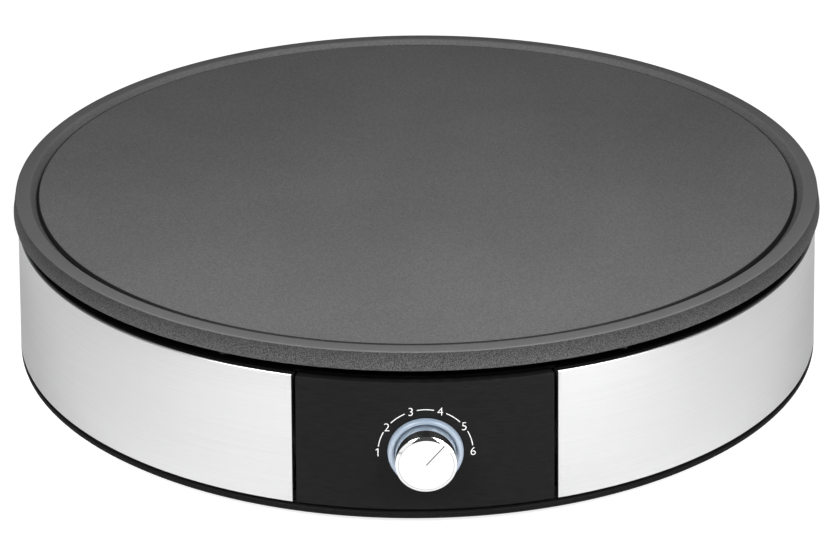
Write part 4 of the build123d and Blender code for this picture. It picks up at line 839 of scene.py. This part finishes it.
def makeDigit(text, turn):
    deselectAll()
    bpy.ops.object.text_add()
    digit = bpy.context.object
    digit.data.body = text
    digit.data.align_x = "CENTER"
    digit.data.align_y = "CENTER"
    digit.data.size = dial["height"] / dial["heightInFont"] * mm
    digit.data.offset = -dial["thinner"] * mm
    digit.data.extrude = dial["thickness"] / 2 * mm
    pickOnly(digit)
    bpy.ops.object.convert(target="MESH")
    digit = bpy.context.object
    # set the figure's own middle on its place on the circle
    place = onCircle(dial["radius"], turn)
    xs = [vertex.co.x for vertex in digit.data.vertices]
    ys = [vertex.co.y for vertex in digit.data.vertices]
    grow = dial["height"] * mm / (max(ys) - min(ys))
    digit.scale = (grow, grow, 1)
    digit.location = place - Vector((max(xs) + min(xs), max(ys) + min(ys), 0)) / 2 * grow
    settle(digit)
    if text == "1":
        # the plain upright gets a short flag at its head
        flag = dial["flag"]
        place += Vector((-flag / 2, dial["height"] / 2 - flag * dial["flagDrop"], 0)) * mm
        stroke = makeBar(flag, dial["line"], dial["thickness"], place, math.radians(dial["flagTurn"]))
        digit = joinPieces([digit, stroke])
    return digit


def makeArc(fromDegrees, toDegrees):
    # the line's end is spun round the dial in small turns
    deselectAll()
    bpy.ops.mesh.primitive_plane_add(size=1)
    arc = bpy.context.object
    arc.scale = (dial["line"] * mm, dial["thickness"] * mm, 1)
    arc.rotation_euler = (math.radians(90), 0, 0)
    arc.location = (dial["radius"] * mm, 0, 0)
    settle(arc)
    editAll(arc)
    turn = math.radians(toDegrees - fromDegrees)
    bpy.ops.mesh.spin(steps=dial["arcSteps"], angle=turn, center=(0, 0, 0), axis=(0, 0, 1))
    bpy.ops.mesh.select_all(action="SELECT")
    bpy.ops.mesh.remove_doubles(threshold=0.000001)
    makeOutward(arc)
    arc.rotation_euler = (0, 0, math.radians(toDegrees))
    settle(arc)
    return arc


def makeDial():
    prints = []
    last = len(dial["digits"]) - 1
    for place, text in enumerate(dial["digits"]):
        angle = dial["first"] - dial["step"] * place
        prints.append(makeDigit(text, math.radians(angle)))
        if place < last:
            prints.append(makeArc(angle - dial["step"] + dial["gap"], angle - dial["gap"]))
    figures = joinPieces(prints)
    layOnPanel(figures)
    figures.name = "dial_figures"
    return figures


dialFigures = makeDial()
finishPiece(dialFigures, "housing", ["ink"])
dialFigures.visible_glossy = False  # keeps the knob's mirror side plain
print("dial made")


# upper housing: the pan under the plate and its dark lip over the steel
housing = {"gauge": 1.2, "wallRadius": 184.0, "depth": 15.2, "corner": 4.0, "headRound": 1.5,
           "middle": 30.0, "segments": 270, "lipInset": 0.6, "lipBack": 3.0, "lipLap": 1.0,
           "lipRound": 0.55, "lipSegments": 540, "smooth": 32}


def makeHousing():
    size = housing
    outer, corner = size["wallRadius"], size["corner"]
    headRound, lipRound = size["headRound"], size["lipRound"]
    inner = outer - size["gauge"]
    floorTop = deckTop - size["depth"]
    floor = floorTop - size["gauge"]
    lip = bandHead - size["lipInset"]
    lipCut = lip - size["lipBack"]
    pan = [(size["middle"], floor)] + roundCorner(outer - corner, floor + corner, corner, -90, 0)
    pan += [(outer, bandTop), (lipCut, bandTop), (lipCut, deckTop)]
    pan += roundCorner(inner + headRound, deckTop - headRound, headRound, 90, 180, 5)
    bend = corner - size["gauge"]
    pan += roundCorner(inner - bend, floorTop + bend, bend, 0, -90) + [(size["middle"], floorTop)]
    shell = turnRings("upper_housing_pan", pan, size["segments"], "capped")
    edge = [(lipCut - size["lipLap"], bandTop), (lip, bandTop)]
    edge += roundCorner(lip - lipRound, deckTop - lipRound, lipRound, 0, 90, 5)
    edge += [(lipCut - size["lipLap"], deckTop)]
    lipStrip = turnRings("lip_strip", edge, size["lipSegments"], "bridged")
    cutSector(lipStrip, band["seamAngle"], keepInside=False)
    editAll(lipStrip)
    selectOpenEdges()
    bpy.ops.mesh.fill_holes(sides=0)
    makeOutward(lipStrip)
    return joinPieces([shell, lipStrip])


upperHousing = makeHousing()
smooth(upperHousing, housing["smooth"])
finishPiece(upperHousing, "housing", ["enamel"], ["upper_housing"])
print("upper housing made")


# screws along the lip
rimScrew = {"circle": 190.5, "places": (-152, -90, -28, 28, 90, 152), "spin": 3.7, "headRadius": 2.7,
            "headHeight": 1.8, "domeFrom": 0.35, "sideTo": 0.3, "domeSteps": 8, "middle": 0.15,
            "shankRadius": 1.5, "shank": 12.0, "recessWidth": 0.7, "recessLength": 3.2, "recessDepth": 1.0,
            "segments": 32, "smooth": 30}


def makeRimScrews():
    size = rimScrew
    head, dome, shank = size["headRadius"], size["headHeight"], size["shankRadius"]
    rings = [(size["middle"], dome)]
    for turn in fallingTurns(size["domeSteps"])[:-1]:
        rise = size["domeFrom"] + (1 - size["domeFrom"]) * math.sin(turn)
        rings.append((head * math.cos(turn), dome * rise))
    rings += [(head, dome * size["sideTo"]), (head, 0), (shank, 0), (shank, -size["shank"])]
    rings += [(size["middle"], -size["shank"])]
    screw = turnRings("rim_screw", rings, size["segments"], "capped")
    for turn in (0, 90):
        place = onCircle(0, 0, dome)
        depth = 2 * size["recessDepth"]
        cutWith(screw, makeBar(size["recessLength"], size["recessWidth"], depth, place, math.radians(turn)))
    smooth(screw, size["smooth"])
    turns = [front + math.radians(place) for place in size["places"]]
    return setRound(screw, "rim_screw_set", size["circle"], turns, deckTop, size["spin"])


rimScrews = makeRimScrews()
finishPiece(rimScrews, "housing", ["blackScrew"], ["rim_screws"])
print("screws made")


# base tray
tray = {"floor": 2.2, "footInset": 1.8, "footRound": 1.0, "crestDrop": 0.8, "crestHeight": 1.4,
        "crestRound": 0.6, "topDrop": 1.5, "gapDepth": 1.9, "wallOuter": 197.8, "wall": 2.0,
        "wallHeight": 4.5, "middle": 30.0, "segments": 360, "smooth": 30, "ventLength": 26.0,
        "ventWidth": 4.0, "ventCut": 20.0, "ventCircles": {140.0: 16, 70.0: 8}}


def cutVents(shell, circle, count):
    # one bar is copied round the circle and all are cut out together
    bar = makeBar(tray["ventLength"], tray["ventWidth"], tray["ventCut"], (0, 0, 0), 0)
    turns = [math.radians(360 * (place + 0.5) / count) for place in range(count)]
    cutWith(shell, setRound(bar, "vent_bars", circle, turns, trayBottom, spin=1))


def makeTray():
    size = tray
    footRound, crestRound = size["footRound"], size["crestRound"]
    footRadius = trayRadius - size["footInset"]
    top = bandBottom - size["topDrop"]
    crest = top - size["crestDrop"]
    gap = bandFoot - size["gapDepth"]
    outer = size["wallOuter"]
    inner = outer - size["wall"]
    wallTop = bandBottom + size["wallHeight"]
    rings = [(size["middle"], trayBottom)]
    rings += roundCorner(footRadius - footRound, trayBottom + footRound, footRound, -90, -40, 4)
    rings += roundCorner(trayRadius - crestRound, crest - size["crestHeight"], crestRound, -40, 0, 3)
    rings += roundCorner(trayRadius - crestRound, crest, crestRound, 0, 70, 4)
    rings += [(gap, top), (gap, bandBottom), (outer, bandBottom), (outer, wallTop), (inner, wallTop)]
    rings += [(inner, trayBottom + size["floor"]), (size["middle"], trayBottom + size["floor"])]
    shell = turnRings("base_tray_moulding", rings, size["segments"], "capped")
    for circle, count in size["ventCircles"].items():  # how many vents stand on each circle
        cutVents(shell, circle, count)
    return shell


baseTray = makeTray()
smooth(baseTray, tray["smooth"])
finishPiece(baseTray, "housing", ["base"], ["base_tray"])
print("base tray made")


# feet
feet = {"circle": 165.0, "count": 4, "first": 45, "radius": 12.0, "edge": 0.8, "dish": 8.0, "dishHeight": 0.5,
        "middle": 0.5, "segments": 64, "smooth": 35}


def makeFeet():
    size = feet
    edge, deep = size["edge"], size["dishHeight"]
    rings = [(size["middle"], deep), (size["dish"], deep), (size["dish"] + deep, 0.0)]
    rings += roundCorner(size["radius"] - edge, edge, edge, -90, 0, 4)
    rings += [(size["radius"], trayBottom), (size["middle"], trayBottom)]
    foot = turnRings("foot", rings, size["segments"], "capped")
    smooth(foot, size["smooth"])
    turns = [math.radians(size["first"] + 360 * place / size["count"]) for place in range(size["count"])]
    return setRound(foot, "rubber_feet", size["circle"], turns, 0.0)


rubberFeet = makeFeet()
finishPiece(rubberFeet, "housing", ["rubber"], ["feet"])


# cord gland and its hole in the steel
gland = {"bore": 3.7, "neck": 8.0, "flange": 10.5, "flangeDepth": 2.5, "tip": 6.0, "taper": 1.2,
         "gripSteps": 7, "gripOut": 0.35, "gripIn": 0.25, "boreSoft": 0.4, "edgeSoft": 0.5, "gap": 0.1,
         "segments": 96, "smooth": 30, "height": middle("cord_gland", 2), "inside": low("cord_gland", 1),
         "outside": high("cord_gland", 1)}


def makeGland():
    size = gland
    bore, neck, flange, tip = size["bore"], size["neck"], size["flange"], size["tip"]
    inside, outside, boreSoft, edgeSoft = size["inside"], size["outside"], size["boreSoft"], size["edgeSoft"]
    inner = inside + size["flangeDepth"]
    seat = wallRadius(size["height"] - flange) + size["gap"]
    taperFrom = seat + size["flangeDepth"]
    rings = [(bore, inside), (flange - boreSoft, inside), (flange, inside + boreSoft)]
    rings += [(flange, inner), (neck, inner), (neck, seat), (flange, seat)]
    rings += [(flange, taperFrom - edgeSoft), (flange - edgeSoft, taperFrom)]
    # grip rings on the way to the tip
    neckOut = flange - size["taper"]
    for step in range(1, size["gripSteps"]):
        along = step / size["gripSteps"]
        grip = size["gripOut"] if step % 2 else -size["gripIn"]
        rings.append((neckOut + (tip - neckOut) * along + grip, taperFrom + (outside - taperFrom) * along))
    rings += [(tip, outside - edgeSoft), (tip - edgeSoft, outside)]
    rings += [(bore + boreSoft, outside), (bore, outside - boreSoft)]
    bush = turnRings("cord_gland_bush", rings, size["segments"], "bridged")
    bush.rotation_euler = (math.radians(-90), 0, 0)
    bush.location = (0, 0, size["height"] * mm)
    settle(bush)
    return bush


def cutGlandHole():
    hole = makeRod(gland["segments"], gland["neck"] + gland["gap"])
    hole.rotation_euler = (math.radians(90), 0, 0)
    hole.location = (0, bandHead * mm, gland["height"] * mm)
    settle(hole)
    cutWith(steelBand, hole)
    smooth(steelBand, band["smooth"])


cordGland = makeGland()
smooth(cordGland, gland["smooth"])
finishPiece(cordGland, "housing", ["rubber"], ["cord_gland"])
cutGlandHole()
print("feet and gland made")


# floor and surroundings
studio = {"floorSize": 14, "floor": 0.62, "floorRoughness": 0.9, "floorSpecular": 0.1, "near": 0.3,
          "far": 0.75, "liftNear": 0.8, "liftFar": 0.95, "shareFrom": 0.22, "shareTo": 0.36,
          "shareNear": 0.18, "shareFar": 0.41, "world": 0.08, "backdrop": 1.0}


def pictureRays(tree):
    # camera and see-through rays, which show the surroundings white, and mirrored rays by themselves
    path = addNode(tree, "LightPath")
    seen = twoValues(tree, "MAXIMUM", path.outputs["Is Camera Ray"], path.outputs["Is Transmission Ray"])
    return seen, path.outputs["Is Glossy Ray"]


def makeFloor():
    size = studio
    deselectAll()
    bpy.ops.mesh.primitive_plane_add(size=size["floorSize"])
    floor = bpy.context.object
    floor.name = "floor"
    surface = {"Base Color": (*grey(size["floor"]), 1), "Roughness": size["floorRoughness"],
               "Specular IOR Level": size["floorSpecular"]}
    material, tree, shader, place = startMaterial("pale floor", surface)
    out = reach(tree, place)[0]
    seen, mirrored = pictureRays(tree)
    # the lift is least round the object, so that its shadow stays
    shown = span(tree, out, size["near"], size["far"], size["liftNear"], size["liftFar"])
    # the steel mirrors a share of the floor's white, more of it further out
    share = span(tree, out, size["shareFrom"], size["shareTo"], size["shareNear"], size["shareFar"])
    seenLift = twoValues(tree, "MULTIPLY", seen, shown)
    mirroredLift = twoValues(tree, "MULTIPLY", mirrored, share)
    lift = addNode(tree, "Emission")
    tree.links.new(twoValues(tree, "MAXIMUM", seenLift, mirroredLift), lift.inputs["Strength"])
    both = addNode(tree, "AddShader")
    tree.links.new(shader.outputs["BSDF"], both.inputs[0])
    tree.links.new(lift.outputs["Emission"], both.inputs[1])
    tree.links.new(both.outputs["Shader"], tree.nodes["Material Output"].inputs["Surface"])
    floor.data.materials.append(material)


def makeWorld():
    world = bpy.data.worlds.new("studio")
    bpy.context.scene.world = world
    world.use_nodes = True
    tree = world.node_tree
    sky = tree.nodes["Background"]
    sky.inputs["Color"].default_value = (1, 1, 1, 1)
    seen = pictureRays(tree)[0]
    tree.links.new(span(tree, seen, 0, 1, studio["world"], studio["backdrop"]), sky.inputs["Strength"])


lamps = {
    "left card": {"place": (-0.62, -0.75, 0.3), "aim": (0, -0.2, 0.05), "size": 0.55, "power": 0.95,
                  "spread": 180},
    "right card": {"place": (0.64, -0.73, 0.22), "aim": (0, -0.2, 0.05), "size": 0.55, "power": 1.9,
                   "spread": 180},
    "left": {"place": (-0.55, -0.8, 0.8), "aim": (0, -0.25, 0.05), "size": 0.5, "power": 1.95, "spread": 66},
    "right": {"place": (0.55, -0.8, 0.8), "aim": (0, -0.25, 0.05), "size": 0.5, "power": 1.95, "spread": 66},
}


def makeLamps():
    for name, lamp in lamps.items():
        deselectAll()
        bpy.ops.object.light_add(type="AREA", location=lamp["place"])
        light = bpy.context.object
        light.name = name + " softbox"
        light.data.shape = "SQUARE"
        light.data.size = lamp["size"]
        light.data.energy = lamp["power"]
        light.data.spread = math.radians(lamp["spread"])
        aim = Vector(lamp["aim"]) - Vector(lamp["place"])
        light.rotation_euler = aim.to_track_quat("-Z", "Y").to_euler()


cameraView = {"lens": 126.93, "sensor": 36, "distance": 1487.1, "targetAcross": -0.28, "targetHeight": 29.28,
              "elevation": 25.09, "azimuth": -0.94, "roll": -0.381}


def makeCamera():
    size = cameraView
    turn, lift, roll = (math.radians(size[key]) for key in ("azimuth", "elevation", "roll"))
    back = Vector((math.sin(turn) * math.cos(lift), -math.cos(turn) * math.cos(lift), math.sin(lift)))
    across = Vector((math.cos(turn), math.sin(turn), 0))
    up = back.cross(across)
    right = across * math.cos(roll) + up * math.sin(roll)
    upright = up * math.cos(roll) - across * math.sin(roll)
    place = Vector((size["targetAcross"], 0, size["targetHeight"])) * mm + back * size["distance"] * mm
    deselectAll()
    bpy.ops.object.camera_add()
    camera = bpy.context.object
    camera.data.lens = size["lens"]
    camera.data.sensor_width = size["sensor"]
    camera.matrix_world = Matrix.Translation(place) @ Matrix((right, upright, back)).transposed().to_4x4()
    bpy.context.scene.camera = camera


makeFloor()
makeWorld()
makeLamps()
makeCamera()
print("studio made")
